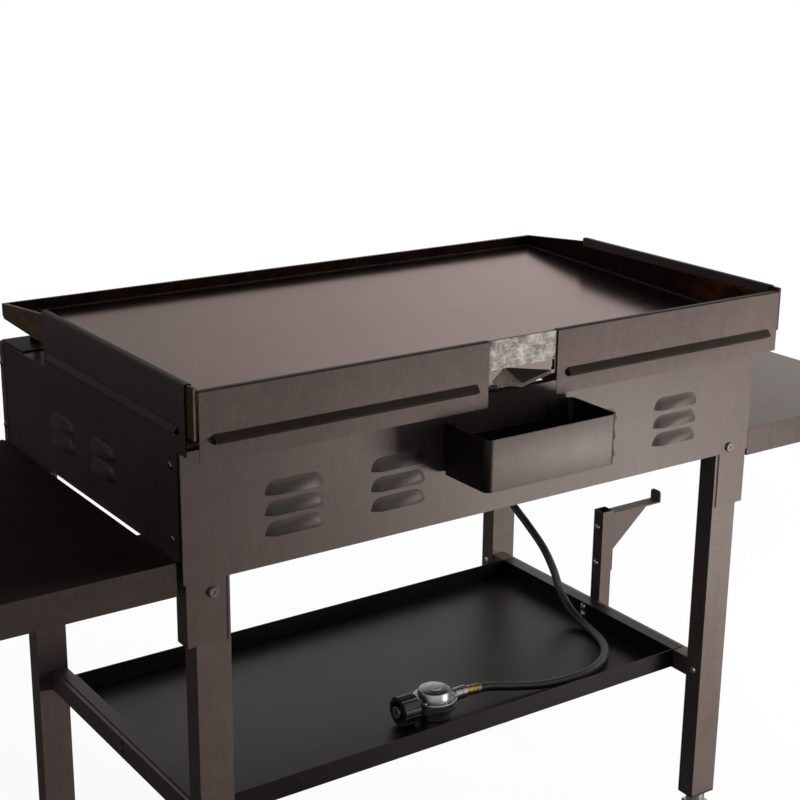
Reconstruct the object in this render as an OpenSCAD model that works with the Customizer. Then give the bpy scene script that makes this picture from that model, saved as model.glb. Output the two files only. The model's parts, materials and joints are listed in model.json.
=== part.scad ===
// Free-standing four-burner gas griddle on a wheeled cart.
// +X is the user's right, +Y the back, +Z up. The origin is on the floor under the middle of the object.

/* [Cabinet] */
// Width over the side panels
cab_w = 920; // [860:10:1120]
// Depth from the front panel's face to the rear panel's face
cab_d = 547; // [500:1:660]
// Height of the rear panel's top edge above the floor
deck_z = 826; // [780:1:1000]
// Height of the rear and front panels
rear_h = 162; // [150:1:200]
// Height of the side panels
side_h = 144; // [120:1:174]
// How far the side panels stand above the rear panel
side_rise = 9; // [6:1:14]
// Sheet steel of the cabinet
sheet = 1.2; // [1:0.1:1.5]
// Width of the turned-in flange along a side panel's top
top_flange = 32; // [24:1:45]
// Width of the other turned-in flanges
small_flange = 12; // [8:1:13]
// Size of a corner bracket, and its thickness
bracket_size = 76; // [60:1:95]
bracket_t = 2; // [1.5:0.5:3]

/* [Louvres] */
// Length of a louvre on the rear panel
rear_louvre_l = 82; // [60:1:95]
// Length of a louvre on a side panel
side_louvre_l = 72; // [50:1:85]
// Height of a louvre, from its crease down to its open edge
louvre_h = 17; // [14:0.5:19]
// How far the open edge stands out from the panel
louvre_out = 7; // [5.5:0.5:8.5]
// Length of each rounded end
louvre_end = 15; // [10:1:20]
// Distance between louvres in a group
louvre_pitch = 26; // [24:1:30]
// Middle of the inner and outer louvre groups on the rear panel
louvre_inner_x = 160; // [155:1:200]
louvre_outer_x = 310; // [290:1:340]
// Half the distance between the two groups on a side panel
louvre_side_y = 61; // [48:1:80]

/* [Griddle top] */
// Thickness of the cooking plate
plate_t = 5; // [4:0.5:8]
// Thickness of the walls round the plate
wall_t = 5; // [4:0.5:7]
// How far the griddle overhangs the cabinet at each side
side_overhang = 2; // [1:0.5:4]
// How far it overhangs at the back
rear_overhang = 40; // [30:1:50]
// How far its front stays behind the front panel
front_setback = 22; // [10:1:40]
// Gap between the side panels and the plate's lowest edge
griddle_gap = 16.5; // [14:0.5:30]
// How much lower the plate lies at the back, so that grease runs off
fall = 20.5; // [10:0.5:30]
// Height of the front lip
lip_h = 21; // [16:0.5:30]
// Height of the rear wall
rear_wall_h = 56; // [48:0.5:62]
// Height of the side walls at the back
side_wall_h = 61; // [56:0.5:70]
// Length of the side walls' tapered front end
taper_l = 195; // [120:1:240]
// Drain notch in the rear wall
notch_w = 104; // [90:1:108]
notch_h = 18.5; // [15:0.5:22]
// Half width, length and drop of the folded spout
spout_half = 47; // [30:1:50]
spout_l = 37; // [25:1:45]
spout_drop = 10.5; // [6:0.5:14]
// Depth and thickness of the stiffening bars under the plate
stiff_h = 14; // [8:1:16]
stiff_t = 5; // [4:0.5:8]
// Radius of a foot's stud
foot_r = 5; // [4:0.5:6]

/* [Wind guards] */
// Sheet steel of the guards
guard_t = 1.2; // [1:0.1:1.6]
// Height of a guard
guard_h = 85.5; // [70:0.5:86]
// Gap between the two rear guards
guard_gap = 110; // [109:1:160]
// Distance from a rear guard's end to the griddle's corner
guard_end = 6; // [6:0.5:12]
// Distance from a side guard's end to the griddle's rear face
guard_set = 16; // [12:1:40]
// Room between a guard's hook and the wall, on each side
hook_room = 1; // [0.6:0.1:1.5]
// Depth of the hook's inner lip
hook_lip = 13; // [8:0.5:20]
// Stiffening strip: width, projection, height above the guard's lower edge, and end margin
strip_w = 13; // [9:0.5:18]
strip_out = 8; // [5:0.5:10]
strip_up = 27; // [20:0.5:40]
strip_margin = 18; // [10:1:40]

/* [Grease cup] */
// Outer width, depth and height of the cup
cup_w = 210; // [150:1:220]
cup_d = 92; // [70:1:110]
cup_h = 68; // [50:1:80]
// Wall of the cup and its corner radius
cup_t = 1.2; // [1:0.1:2]
cup_r = 10; // [6:0.5:16]
// Depth of the cup's rim below the rear panel's top edge
cup_drop = 25.5; // [22:0.5:40]
// The cup's middle, from the griddle's middle
cup_x = -11; // [-12:1:12]
// Room behind the cup for its bracket
cup_gap = 2; // [1.8:0.1:4]
// Cut-out in the cup's back wall
cup_cut_w = 150; // [60:1:150]
cup_cut_h = 23; // [10:1:30]

/* [Burners and controls] */
// Distance between burners, and between knobs
burner_pitch = 230; // [180:1:235]
// Height of the gas line above the side panels' lower edge
gas_up = 61; // [56:1:70]
// Outer radius of a burner tube and its wall
burner_r = 16; // [12:0.5:20]
burner_t = 1.2; // [1:0.1:2]
// Distance between burner ports
port_pitch = 18; // [12:1:30]
// Outer radius of the manifold pipe
manifold_r = 10.7; // [8:0.1:12]
// Radius of a valve's stem
stem_r = 4; // [3:0.5:5]
// Knob: skirt radius, grip radius, length, and gap to its bezel
knob_r = 23; // [18:0.5:26]
grip_r = 17; // [12:0.5:17.5]
knob_l = 29; // [24:0.5:34]
knob_gap = 1; // [0.5:0.1:2]
// Bezel: radius and thickness
bezel_r = 28; // [27:0.5:34]
bezel_t = 3; // [2:0.5:5]
// Igniter button: radius and push-in travel
button_r = 9; // [7:0.5:11]
button_travel = 4; // [2:0.5:5]

/* [Stand] */
// Leg tube: face width, depth and steel thickness
leg_w = 46; // [40:1:50]
leg_d = 30; // [24:1:36]
leg_t = 1.5; // [1.2:0.1:2]
// Distance from a leg's middle to the cabinet's side
leg_inset = 38; // [38:1:46]
// Depth to which a panel's tab covers the leg
tab_l = 81; // [60:1:220]
// Side rail: top height, width and depth
rail_z = 330; // [220:1:400]
rail_w = 24; // [20:1:26]
rail_h = 30; // [24:1:36]
// Bottom shelf: depth of its pan and distance from the cabinet's front and back
tray_h = 29; // [22:1:34]
tray_inset = 62; // [50:1:90]
// Side shelf: width, rim depth, and gap to the cabinet
shelf_w = 350; // [280:1:400]
shelf_h = 42; // [30:1:50]
shelf_gap = 6; // [4:0.5:10]
// Length of the shelf brackets at the back and at the front
bracket_rear_l = 105; // [80:1:140]
bracket_front_l = 158; // [80:1:170]
// Tank post: side, wall, and height above the rail
post_side = 22; // [18:0.5:28]
post_t = 1.5; // [1.2:0.1:2]
post_up = 155; // [130:1:180]
// Tank hook: reach of its arm, height of its upturned end and its steel thickness
hook_l = 104; // [80:1:130]
hook_up = 17.5; // [15:0.5:30]
hook_t = 2.5; // [2:0.5:4]

/* [Casters] */
// Wheel radius and width
wheel_r = 37.5; // [32:0.5:45]
wheel_w = 22; // [18:0.5:26]
// Distance from the swivel axis to the axle
trail = 20; // [16:0.5:24]

/* [Gas line] */
// Outer radius of the hose
hose_r = 6.5; // [5:0.5:7.5]

/* [Hidden] */
$fn = 48;
// Running clearances: round fits, and parts that pass each other
fit = 0.05;
clear = 0.3;
eps = 0.01;

// Colours
coat = [0.36, 0.32, 0.31];
dark_coat = [0.17, 0.16, 0.16];
black = [0.08, 0.08, 0.08];
seasoned = [0.45, 0.41, 0.40];
rusty = [0.25, 0.17, 0.13];
bare = [0.70, 0.68, 0.65];
zinc = [0.62, 0.62, 0.60];
brassy = [0.72, 0.58, 0.30];

// Cabinet planes. The cup sets how far the object reaches back, a knob how far it reaches forward.
cup_reach = cup_gap + cup_d;
knob_reach = bezel_t + knob_gap + knob_l;
mid_y = (knob_reach - cup_reach) / 2;
rear_y = mid_y + cab_d / 2;
front_y = mid_y - cab_d / 2;
side_x = cab_w / 2;
rear_z0 = deck_z - rear_h;
side_z1 = deck_z + side_rise;
side_z0 = side_z1 - side_h;
bracket_z = side_z1 + bracket_t;
end_flange = 34;
wrap = 14;

// Griddle planes
plate_w = cab_w + 2 * side_overhang;
plate_y1 = rear_y + rear_overhang;
plate_y0 = front_y + front_setback;
plate_d = plate_y1 - plate_y0;
plate_z0 = side_z1 + griddle_gap;
slope = fall / plate_d;
in_x = plate_w / 2 - wall_t;
side_wall_z = plate_z0 + side_wall_h;
rear_wall_z = plate_z0 + rear_wall_h;
function under(y) = plate_z0 + (plate_y1 - y) * slope;
foot_x = side_x - 40;
foot_y = [front_y + 36, rear_y - 36];

// Guards
guard_l = plate_w / 2 - guard_gap / 2 - guard_end;
guard_out = hook_room + guard_t;
strip_l = guard_l - 2 * strip_margin;

// Gas line and controls
gas_z = side_z0 + gas_up;
burner_x = [for (i = [0 : 3]) (i - 1.5) * burner_pitch];
burner_y0 = front_y + 70;
burner_y1 = rear_y - 45;
burner_rail_w = 30;
burner_rail_t = 2;
burner_rail_y = [front_y + 100, rear_y - 80];
burner_rail_z = gas_z - burner_r;
manifold_y = front_y + 37;
manifold_z = gas_z - 19.3 - manifold_r;
valve_size = [24, 34, 26];
stem_grip = 16;
stem_out = bezel_t + knob_gap + stem_grip;
stem_hole = stem_r + 3;
electrode_x = burner_r + 14;
electrode_r = 3.5;
button_out = 10;
collar_r = button_r + 2.5;
igniter_x = 0;

// Stand
louvre_top = 0.63 * louvre_h;
louvre_low = louvre_h - louvre_top;
leg_x = side_x - leg_inset;
leg_z0 = 2 * wheel_r + 31;
leg_z1 = side_z0 + 54;
socket_z = leg_z0 - 4;
leg_mid = leg_d / 2;
bolt_r = 3;
bolt_hole = 3.2;
function leg_bolt_z(sx) = rear_z0 + (sx > 0 ? -16 : 9);
tab_return = leg_d - 4;
rail_bolt_z = rail_z - rail_h / 2;
rail_x0 = leg_x - leg_w / 2 + leg_t;
rail_y1 = rear_y - sheet - leg_t;
rail_y0 = front_y + sheet + leg_t;
tray_x = rail_x0 - clear;
tray_lip = 18;
tray_floor = rail_z + sheet - tray_h;
shelf_x0 = side_x + shelf_gap;
shelf_inset = 5;
shelf_z1 = side_z0 + sheet;
arm_x0 = leg_x + leg_w / 2 + 2;
arm_x1 = shelf_x0 + 240;
arm_t = 3;
arm_spans = [[rear_y - shelf_inset - sheet - clear - bracket_rear_l, bracket_rear_l],
             [front_y + shelf_inset + sheet + clear, bracket_front_l]];
arm_bolt_x = side_x - sheet - 1.8 * bolt_r - 0.6;
post_x = -(rail_x0 + rail_w) - post_side;
post_z1 = rail_z + post_up;
hook_flange_l = 100;
hook_w = 22;
hook_z = post_z1 - 5.5;
hook_back = 2.5;
hook_round = 6;
hook_bolts = [28, 90];
post_bolts = [0.32 * rail_h, 0.76 * rail_h];
screw_r = 2;
screw_head = 4;
screw_z = [side_z0 + 0.16 * side_h, side_z0 + 0.79 * side_h];

// Casters
axle_r = 4;
fork_t = 2.5;
fork_x = wheel_w / 2 + 1.5;
fork_z = 2 * wheel_r + 6;
hub_r = 14;
pin_r = 2;
brake_y = trail + 0.8 * wheel_r;
brake_z = wheel_r + 0.82 * wheel_r;

// Hose: from the elbow down to the bottom shelf, then along its floor to the regulator
hose_sides = 10;
hose_steps = 3;
hose_points = [
  [-372, -267, 676], [-372, -267, 634], [-372, -267, 590], [-372, -258, 539], [-372, -232, 494], [-372, -192, 460],
  [-372, -146, 434], [-372, -104, 407.5], [-372, -76, 378], [-372, -57, 348], [-372, -31, 326], [-371, 4, 313.4],
  [-364, 44, 310.6], [-346, 84, 310.2], [-314, 116, 310.2], [-272, 134, 310.2], [-226, 138, 310.2],
  [-180, 132, 311.2], [-136, 120, 316], [-95, 111, 323], [-55, 108, 326]
];
hose_start = hose_points[0];
hose_end = hose_points[len(hose_points) - 1];
elbow_nut = manifold_r + 3;
manifold_x0 = hose_start[0] + elbow_nut + clear;
reg_r = 33;
reg_x = hose_end[0] + 22 + reg_r;
nut_r = 22;

// Basic shapes
module block(lo, hi) { translate(lo) cube(hi - lo); }

module along_x(x0, x1) { translate([x0, 0, 0]) rotate([90, 0, 90]) linear_extrude(x1 - x0) children(); }

module rod_x(x0, x1, r) { translate([x0, 0, 0]) rotate([0, 90, 0]) cylinder(h = x1 - x0, r = r); }

module rod_y(y0, y1, r) { translate([0, y1, 0]) rotate([90, 0, 0]) cylinder(h = y1 - y0, r = r); }

module mirrored(s) { mirror([s < 0 ? 1 : 0, 0, 0]) children(); }

module both_sides() { for (s = [-1, 1]) mirrored(s) children(); }

// One leg's own frame: its outer face at y = 0, the leg towards -y, +x outwards
module at_leg(sx, sy) {
  translate([sx * leg_x, sy > 0 ? rear_y - sheet : front_y + sheet, 0])
    mirror([sx < 0 ? 1 : 0, 0, 0]) mirror([0, sy < 0 ? 1 : 0, 0]) children();
}

module each_leg() { for (sx = [-1, 1]) for (sy = [-1, 1]) at_leg(sx, sy) children(); }

// The swivel axis over one leg, with the trailing side always towards +y
module at_caster(sx, sy) {
  translate([sx * leg_x, sy > 0 ? rear_y - sheet - leg_mid : front_y + sheet + leg_mid, 0]) children();
}

// A bolt along +z: head below z = 0, then the grip, then the nut
module bolt(grip, head = 1.75) {
  translate([0, 0, -3.5]) cylinder(h = 3.5, r = head * bolt_r);
  cylinder(h = grip + 7, r = bolt_r);
  translate([0, 0, grip]) cylinder(h = 5, r = 1.8 * bolt_r, $fn = 6);
}

module bolt_bore(depth) { translate([0, 0, -1]) cylinder(h = depth + 2, r = bolt_hole); }

// Everything above the plate's underside, to cut what meets the sloping plate
module above_plate() {
  along_x(-plate_w, plate_w)
    polygon([[plate_y0, under(plate_y0)], [plate_y1, under(plate_y1)], [plate_y1, under(plate_y0) + 80],
             [plate_y0, under(plate_y0) + 80]]);
}

// Griddle top
module plate_slab(x, y0, y1) {
  along_x(-x, x)
    polygon([[y0, under(y0)], [y1, under(y1)], [y1, under(y1) + plate_t], [y0, under(y0) + plate_t]]);
}

module griddle_plate() {
  color(seasoned) difference() {
    union() {
      plate_slab(in_x, plate_y0 + wall_t, plate_y1 - wall_t);
      plate_slab(notch_w / 2, plate_y1 - wall_t - 1, plate_y1);
    }
    translate([0, 0, plate_z0 - 20]) linear_extrude(80)
      polygon([[0, plate_y1 - spout_l], [spout_half, plate_y1], [spout_half, plate_y1 + 1],
               [-spout_half, plate_y1 + 1], [-spout_half, plate_y1]]);
  }
}

module front_lip() {
  z = under(plate_y0);
  color(rusty) block([-in_x, plate_y0, z], [in_x, plate_y0 + wall_t, z + lip_h]);
}

module rear_wall() {
  color(rusty) both_sides() block([notch_w / 2, plate_y1 - wall_t, plate_z0], [in_x, plate_y1, rear_wall_z]);
}

module drain_bridge() {
  color(bare) block([-notch_w / 2, plate_y1 - wall_t, plate_z0 + notch_h], [notch_w / 2, plate_y1, rear_wall_z]);
}

module side_walls() {
  z = under(plate_y0);
  color(rusty) both_sides() along_x(in_x, plate_w / 2)
    polygon([[plate_y1, plate_z0], [plate_y0 + wall_t, under(plate_y0 + wall_t)], [plate_y0, z + wall_t],
             [plate_y0, z + lip_h], [plate_y0 + taper_l, side_wall_z], [plate_y1, side_wall_z]]);
}

module drain_spout() {
  in_y = plate_y1 - spout_l;
  top = under(plate_y1) + plate_t;
  tip = top - spout_drop;
  upper = [[0, in_y, under(in_y) + plate_t], [-spout_half, plate_y1, top], [0, plate_y1, tip],
           [spout_half, plate_y1, top]];
  lower = [for (p = upper) p - [0, 0, plate_t]];
  color(bare) polyhedron(concat(upper, lower), [
    [0, 1, 2], [0, 2, 3], [4, 6, 5], [4, 7, 6],
    [0, 4, 5], [0, 5, 1], [1, 5, 6], [1, 6, 2], [2, 6, 7], [2, 7, 3], [3, 7, 4], [3, 4, 0]
  ]);
}

module plate_stiffeners() {
  y0 = foot_y[0] + 30;
  y1 = foot_y[1] - 30;
  color(rusty) both_sides() along_x(burner_pitch - stiff_t / 2, burner_pitch + stiff_t / 2)
    polygon([[y0, under(y0)], [y1, under(y1)], [y1, under(y1) - stiff_h], [y0, under(y0) - stiff_h]]);
}

module levelling_feet() {
  color(zinc) both_sides() for (y = foot_y) difference() {
    translate([foot_x, y, 0]) {
      translate([0, 0, bracket_z - 14]) cylinder(h = under(y) - bracket_z + 16, r = foot_r);
      translate([0, 0, bracket_z]) cylinder(h = 7, r = 2 * foot_r, $fn = 6);
    }
    above_plate();
  }
}

// Wind guards: one sheet with a hook over the wall, drawn for the back and turned for the sides
module guard_sheet() {
  lip = -wall_t - hook_room;
  along_x(-guard_l / 2, guard_l / 2)
    polygon([[guard_out, guard_t - guard_h], [guard_out, guard_t], [lip - guard_t, guard_t],
             [lip - guard_t, guard_t - hook_lip], [lip, guard_t - hook_lip], [lip, 0], [hook_room, 0],
             [hook_room, guard_t - guard_h]]);
}

module guard_strip() {
  z = guard_t - guard_h + strip_up;
  ridge = -0.16 * strip_w;
  along_x(-strip_l / 2, strip_l / 2) translate([guard_out, z])
    polygon([[0, strip_w / 2], [strip_out, ridge], [0, -strip_w / 2], [0, 1.9 * guard_t - strip_w / 2],
             [strip_out - 1.7 * guard_t, ridge + 0.2], [0, strip_w / 2 - 1.7 * guard_t]]);
}

module at_rear_wall(s) {
  translate([s * (guard_gap / 2 + guard_l / 2), plate_y1, rear_wall_z]) children();
}

module at_side_wall(s) {
  mirrored(s) translate([plate_w / 2, plate_y1 - guard_set - guard_l / 2, side_wall_z]) rotate([0, 0, -90]) children();
}

module guard_left() { color(coat) at_side_wall(-1) guard_sheet(); }
module guard_right() { color(coat) at_side_wall(1) guard_sheet(); }
module guard_rear_left() { color(coat) at_rear_wall(-1) guard_sheet(); }
module guard_rear_right() { color(coat) at_rear_wall(1) guard_sheet(); }
module strip_left() { color(dark_coat) at_side_wall(-1) guard_strip(); }
module strip_right() { color(dark_coat) at_side_wall(1) guard_strip(); }
module strip_rear_left() { color(dark_coat) at_rear_wall(-1) guard_strip(); }
module strip_rear_right() { color(dark_coat) at_rear_wall(1) guard_strip(); }

// Louvres, on a face at y = 0 that looks towards +y: a sloping hood with rounded ends, open below
module louvre_wedge(l, top, low, out, back) {
  n = 6;
  arc = [for (i = [0 : n]) [louvre_end * (1 - cos(90 * i / n)) - l / 2, (top + low) * sin(90 * i / n) - low]];
  rim = concat(arc, [for (i = [n : -1 : 0]) [-arc[i][0], arc[i][1]]]);
  m = len(rim);
  tip = l / 2 - 0.75 * louvre_end;
  polyhedron(
    concat([for (p = rim) [p[0], back, p[1]]], [for (p = rim) [p[0], 0, p[1]]], [[-tip, out, -low], [tip, out, -low]]),
    concat([[for (i = [0 : m - 1]) i]], [for (i = [0 : m - 1]) [(i + 1) % m, i, m + i, m + (i + 1) % m]],
           [for (i = [0 : n - 1]) [m + i + 1, m + i, 2 * m]], [[m + n + 1, m + n, 2 * m, 2 * m + 1]],
           [for (i = [n + 1 : m - 2]) [m + i + 1, m + i, 2 * m + 1]], [[m, 2 * m - 1, 2 * m + 1, 2 * m]]));
}

module louvre_inside(l) {
  slope = louvre_out / louvre_h;
  top = louvre_top - sheet * sqrt(1 + slope * slope) / slope;
  low = louvre_low + 1;
  louvre_wedge(l - 3 * sheet, top, low, slope * (top + low), -sheet - 1);
}

module louvre_slot(l) {
  difference() {
    louvre_inside(l);
    block([-l, -50, -50], [l, 50, -louvre_low]);
  }
}

module louvre_hood(l) {
  difference() {
    louvre_wedge(l, louvre_top, louvre_low, louvre_out, -sheet);
    louvre_inside(l);
  }
}

module rear_louvres() {
  for (s = [-1, 1]) for (x = [louvre_inner_x, louvre_outer_x]) for (i = [-1 : 1])
    translate([s * x, rear_y, (rear_z0 + deck_z) / 2 - 11 + i * louvre_pitch]) children();
}

module side_louvres() {
  for (s = [-1, 1]) for (i = [-1, 1])
    translate([side_x, mid_y + s * louvre_side_y, (side_z0 + side_z1) / 2 - 6 + i * louvre_pitch / 2])
      rotate([0, 0, -90]) children();
}

// Cabinet panels
module panel_face(y0, y1, inner) {
  block([-side_x, y0, rear_z0], [side_x, y1, deck_z]);
  both_sides() {
    block([leg_x - 17, y0, rear_z0 - tab_l], [leg_x + 35, y1, rear_z0 + 1]);
    block([leg_x + 35 - sheet, min(y0, inner), rear_z0 - tab_l],
          [leg_x + 35, max(y1, inner), side_z0 - arm_t - clear]);
  }
}

module leg_bolt_bores(y) {
  for (s = [-1, 1]) translate([s * leg_x, y, leg_bolt_z(s)]) rotate([90, 0, 0]) bolt_bore(20);
}

module rear_panel() {
  flange_x = leg_x - leg_w / 2 - 4;
  in_face = side_x - sheet;
  color(coat) difference() {
    union() {
      difference() {
        union() {
          panel_face(rear_y - sheet, rear_y, rear_y - tab_return);
          block([-in_face + clear, rear_y - small_flange, deck_z - sheet], [in_face - clear, rear_y, deck_z]);
          block([-flange_x, rear_y - small_flange, rear_z0], [flange_x, rear_y, rear_z0 + sheet]);
          both_sides() block([in_face - sheet, rear_y - end_flange, side_z0 + 2 * sheet],
                             [in_face, rear_y, deck_z - 2 * sheet]);
        }
        rear_louvres() louvre_slot(rear_louvre_l);
      }
      rear_louvres() louvre_hood(rear_louvre_l);
    }
    leg_bolt_bores(rear_y + 1);
    screw_bores(rear_y - end_flange + 10);
  }
}

module front_panel() {
  flange_x = leg_x - leg_w / 2 - 4;
  color(coat) difference() {
    union() {
      panel_face(front_y, front_y + sheet, front_y + tab_return);
      block([-side_x - sheet, front_y, rear_z0], [side_x + sheet, front_y + sheet, side_z1]);
      block([-flange_x, front_y, rear_z0], [flange_x, front_y + small_flange, rear_z0 + sheet]);
      both_sides() block([side_x, front_y, side_z0], [side_x + sheet, front_y + wrap, side_z1]);
    }
    leg_bolt_bores(front_y + 10);
    screw_bores(front_y + wrap / 2);
    for (x = burner_x) translate([x, 0, gas_z]) rod_y(front_y - 1, front_y + 5, stem_hole);
    translate([igniter_x, 0, gas_z]) rod_y(front_y - 1, front_y + 5, collar_r + fit);
  }
}

module screw_bores(y) {
  both_sides() for (z = screw_z) translate([0, y, z]) rod_x(side_x - 4, side_x + 4, screw_r + 0.1);
}

module side_panel() {
  in_face = side_x - sheet;
  y0 = front_y + sheet + fit;
  y1 = rear_y - sheet - fit;
  difference() {
    union() {
      difference() {
        union() {
          block([in_face, y0, side_z0], [side_x, y1, side_z1]);
          block([side_x - top_flange, y0, side_z1 - sheet], [side_x, y1, side_z1]);
          block([in_face - small_flange, y0 + leg_d + 4, side_z0], [side_x, y1 - leg_d - 4, side_z0 + sheet]);
        }
        side_louvres() louvre_slot(side_louvre_l);
      }
      side_louvres() louvre_hood(side_louvre_l);
    }
    screw_bores(rear_y - end_flange + 10);
    screw_bores(front_y + wrap / 2);
    for (y = foot_y) translate([foot_x, y, bracket_z - 20]) cylinder(h = 22, r = foot_r + 3);
    arm_bolt_bores();
  }
}

module left_side_panel() { color(dark_coat) mirrored(-1) side_panel(); }
module right_side_panel() { color(dark_coat) side_panel(); }

module corner_bracket(y0) {
  x1 = side_x - 2;
  slot_y = y0 + bracket_size - 16;
  difference() {
    block([x1 - bracket_size, y0, side_z1], [x1, y0 + bracket_size, bracket_z]);
    for (y = foot_y) translate([foot_x, y, side_z1 - 1]) cylinder(h = 8, r = foot_r + 1);
    block([x1 - bracket_size + 12, slot_y, side_z1 - 1], [x1 - bracket_size + 32, slot_y + 5, bracket_z + 1]);
  }
}

module corner_brackets() {
  color(zinc) both_sides() {
    corner_bracket(front_y + sheet + 2);
    corner_bracket(rear_y - sheet - 2 - bracket_size);
  }
}

module panel_screws() {
  color(zinc) both_sides() for (z = screw_z) {
    translate([side_x, rear_y - end_flange + 10, z]) panel_screw();
    translate([side_x + sheet, front_y + wrap / 2, z]) panel_screw();
  }
}

module panel_screw() {
  rod_x(0, 2, screw_head);
  rod_x(-2 * sheet - 3, 1, screw_r);
}

// Burners and gas line
module burner_rails() {
  x = side_x - sheet;
  color(zinc) difference() {
    union() {
      for (y = burner_rail_y) {
        block([-x, y, burner_rail_z - burner_rail_t], [x, y + burner_rail_w, burner_rail_z]);
        block([-x, y, burner_rail_z - 20], [x, y + burner_rail_t, burner_rail_z]);
      }
    }
    for (x = burner_x) translate([x + electrode_x, burner_rail_y[0] + 15, burner_rail_z - 10])
      cylinder(h = 20, r = electrode_r + 0.1);
  }
}

module burners() {
  ports = floor((burner_y1 - burner_y0 - 80) / port_pitch);
  color(bare) for (x = burner_x) translate([x, 0, gas_z]) difference() {
    rod_y(burner_y0, burner_y1, burner_r);
    rod_y(burner_y0 - 1, burner_y1 - 3, burner_r - burner_t);
    for (i = [0 : ports]) translate([0, burner_y0 + 60 + i * port_pitch, 0]) cylinder(h = burner_r + 1, r = 1.5);
  }
}

module gas_manifold() {
  color(zinc) translate([0, manifold_y, manifold_z]) difference() {
    rod_x(manifold_x0, burner_x[3] + 24, manifold_r);
    rod_x(manifold_x0 - 1, burner_x[3] + 20, manifold_r - 2.5);
  }
}

module gas_valve() {
  y0 = manifold_y - valve_size[1] / 2;
  y1 = manifold_y + valve_size[1] / 2;
  h = valve_size[2] / 2;
  block([-valve_size[0] / 2, y0, -h], [valve_size[0] / 2, y1, h]);
  translate([0, manifold_y, manifold_z + manifold_r - gas_z]) cylinder(h = -h - manifold_z - manifold_r + gas_z + 1, r = 7);
  rod_y(front_y - stem_out, y0 + 1, stem_r);
  rod_y(front_y + sheet, y0 + 1, stem_hole + 3);
  rod_y(y1 - 1, burner_y0 + 8, stem_r + 1);
}

module gas_valves() { color(brassy) for (x = burner_x) translate([x, 0, gas_z]) gas_valve(); }

module inlet_elbow() {
  color(brassy) {
    translate([0, manifold_y, manifold_z]) rod_x(hose_start[0], manifold_x0, manifold_r);
    translate([hose_start[0], manifold_y, manifold_z]) sphere(manifold_r);
    translate([hose_start[0], manifold_y, hose_start[2]]) {
      cylinder(h = manifold_z - hose_start[2], r = manifold_r);
      cylinder(h = 14, r = elbow_nut, $fn = 6);
    }
  }
}

module knob(i) {
  y = front_y - bezel_t - knob_gap;
  color(black) translate([burner_x[i], y, gas_z]) difference() {
    union() {
      rod_y(-6, 0, knob_r);
      rod_y(-knob_l + 5, 0, grip_r);
      block([-4.5, -knob_l, -grip_r + 2], [4.5, -5, grip_r - 2]);
    }
    rod_y(-stem_grip - clear, 1, stem_r + fit);
  }
}

module knob_1() { knob(0); }
module knob_2() { knob(1); }
module knob_3() { knob(2); }
module knob_4() { knob(3); }

module knob_bezels() {
  color(bare) for (x = burner_x) translate([x, 0, gas_z]) difference() {
    rod_y(front_y - bezel_t, front_y, bezel_r);
    rod_y(front_y - bezel_t - 1, front_y + 1, stem_hole);
  }
}

module igniter_body() {
  color(black) translate([igniter_x, 0, gas_z]) difference() {
    union() {
      rod_y(front_y - 4, front_y, collar_r + 4);
      rod_y(front_y - 4, front_y + 16, collar_r);
      block([-20, front_y + 15, -18], [20, front_y + 62, 18]);
    }
    rod_y(front_y - 5, front_y + 12, button_r + clear);
  }
}

module igniter_button() {
  color([0.5, 0.08, 0.06]) translate([igniter_x, 0, gas_z]) rod_y(front_y - button_out, front_y + 11 - button_travel, button_r);
}

module spark_electrodes() {
  color([0.85, 0.83, 0.78]) for (x = burner_x)
    translate([x + electrode_x, burner_rail_y[0] + 15, burner_rail_z]) {
      translate([0, 0, -10]) cylinder(h = 24, r = electrode_r);
      cylinder(h = 2, r = electrode_r + 2.5);
      block([-1, -1, 0], [1, 1, 21]);
      block([-10, -1, 19], [1, 1, 21]);
    }
}

// Grease cup
module round_block(w, d, h, r) {
  block([-w / 2 + r, 0, 0], [w / 2 - r, d, h]);
  block([-w / 2, r, 0], [w / 2, d - r, h]);
  for (x = [r - w / 2, w / 2 - r]) for (y = [r, d - r]) translate([x, y, 0]) cylinder(h = h, r = r);
}

module grease_cup() {
  z1 = deck_z - cup_drop;
  color(dark_coat) translate([cup_x, rear_y + cup_gap, z1 - cup_h]) difference() {
    round_block(cup_w, cup_d, cup_h, cup_r);
    translate([0, cup_t, cup_t]) round_block(cup_w - 2 * cup_t, cup_d - 2 * cup_t, cup_h, cup_r - cup_t);
    block([-cup_cut_w / 2 - cup_x, -1, cup_h - cup_cut_h], [cup_cut_w / 2 - cup_x, cup_t + 1, cup_h + 1]);
  }
}

module cup_bracket() {
  z = deck_z - cup_drop - cup_h;
  w = 0.72 * cup_w;
  color(dark_coat) {
    block([cup_x - w / 2, rear_y, z - 1.5], [cup_x + w / 2, rear_y + cup_gap + 0.9 * cup_d, z]);
    block([cup_x - w / 2, rear_y, z - 1.5], [cup_x + w / 2, rear_y + 1.5, z + 0.5 * cup_h]);
  }
}

// Stand
module legs() {
  half = leg_w / 2;
  color(coat) for (sx = [-1, 1]) for (sy = [-1, 1]) at_leg(sx, sy) difference() {
    block([-half, -leg_d, leg_z0], [half, 0, leg_z1]);
    block([leg_t - half, leg_t - leg_d, leg_z0 - 1], [half - leg_t, -leg_t, leg_z1 + 1]);
    block([leg_t - half, -leg_d - 1, rail_z - rail_h], [leg_t - half + rail_w, leg_t - leg_d + 1, rail_z]);
    translate([0, 5, leg_bolt_z(sx)]) rotate([90, 0, 0]) bolt_bore(10);
    translate([-half - 1, -leg_mid, rail_bolt_z]) rotate([0, 90, 0]) bolt_bore(4);
  }
}

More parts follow.
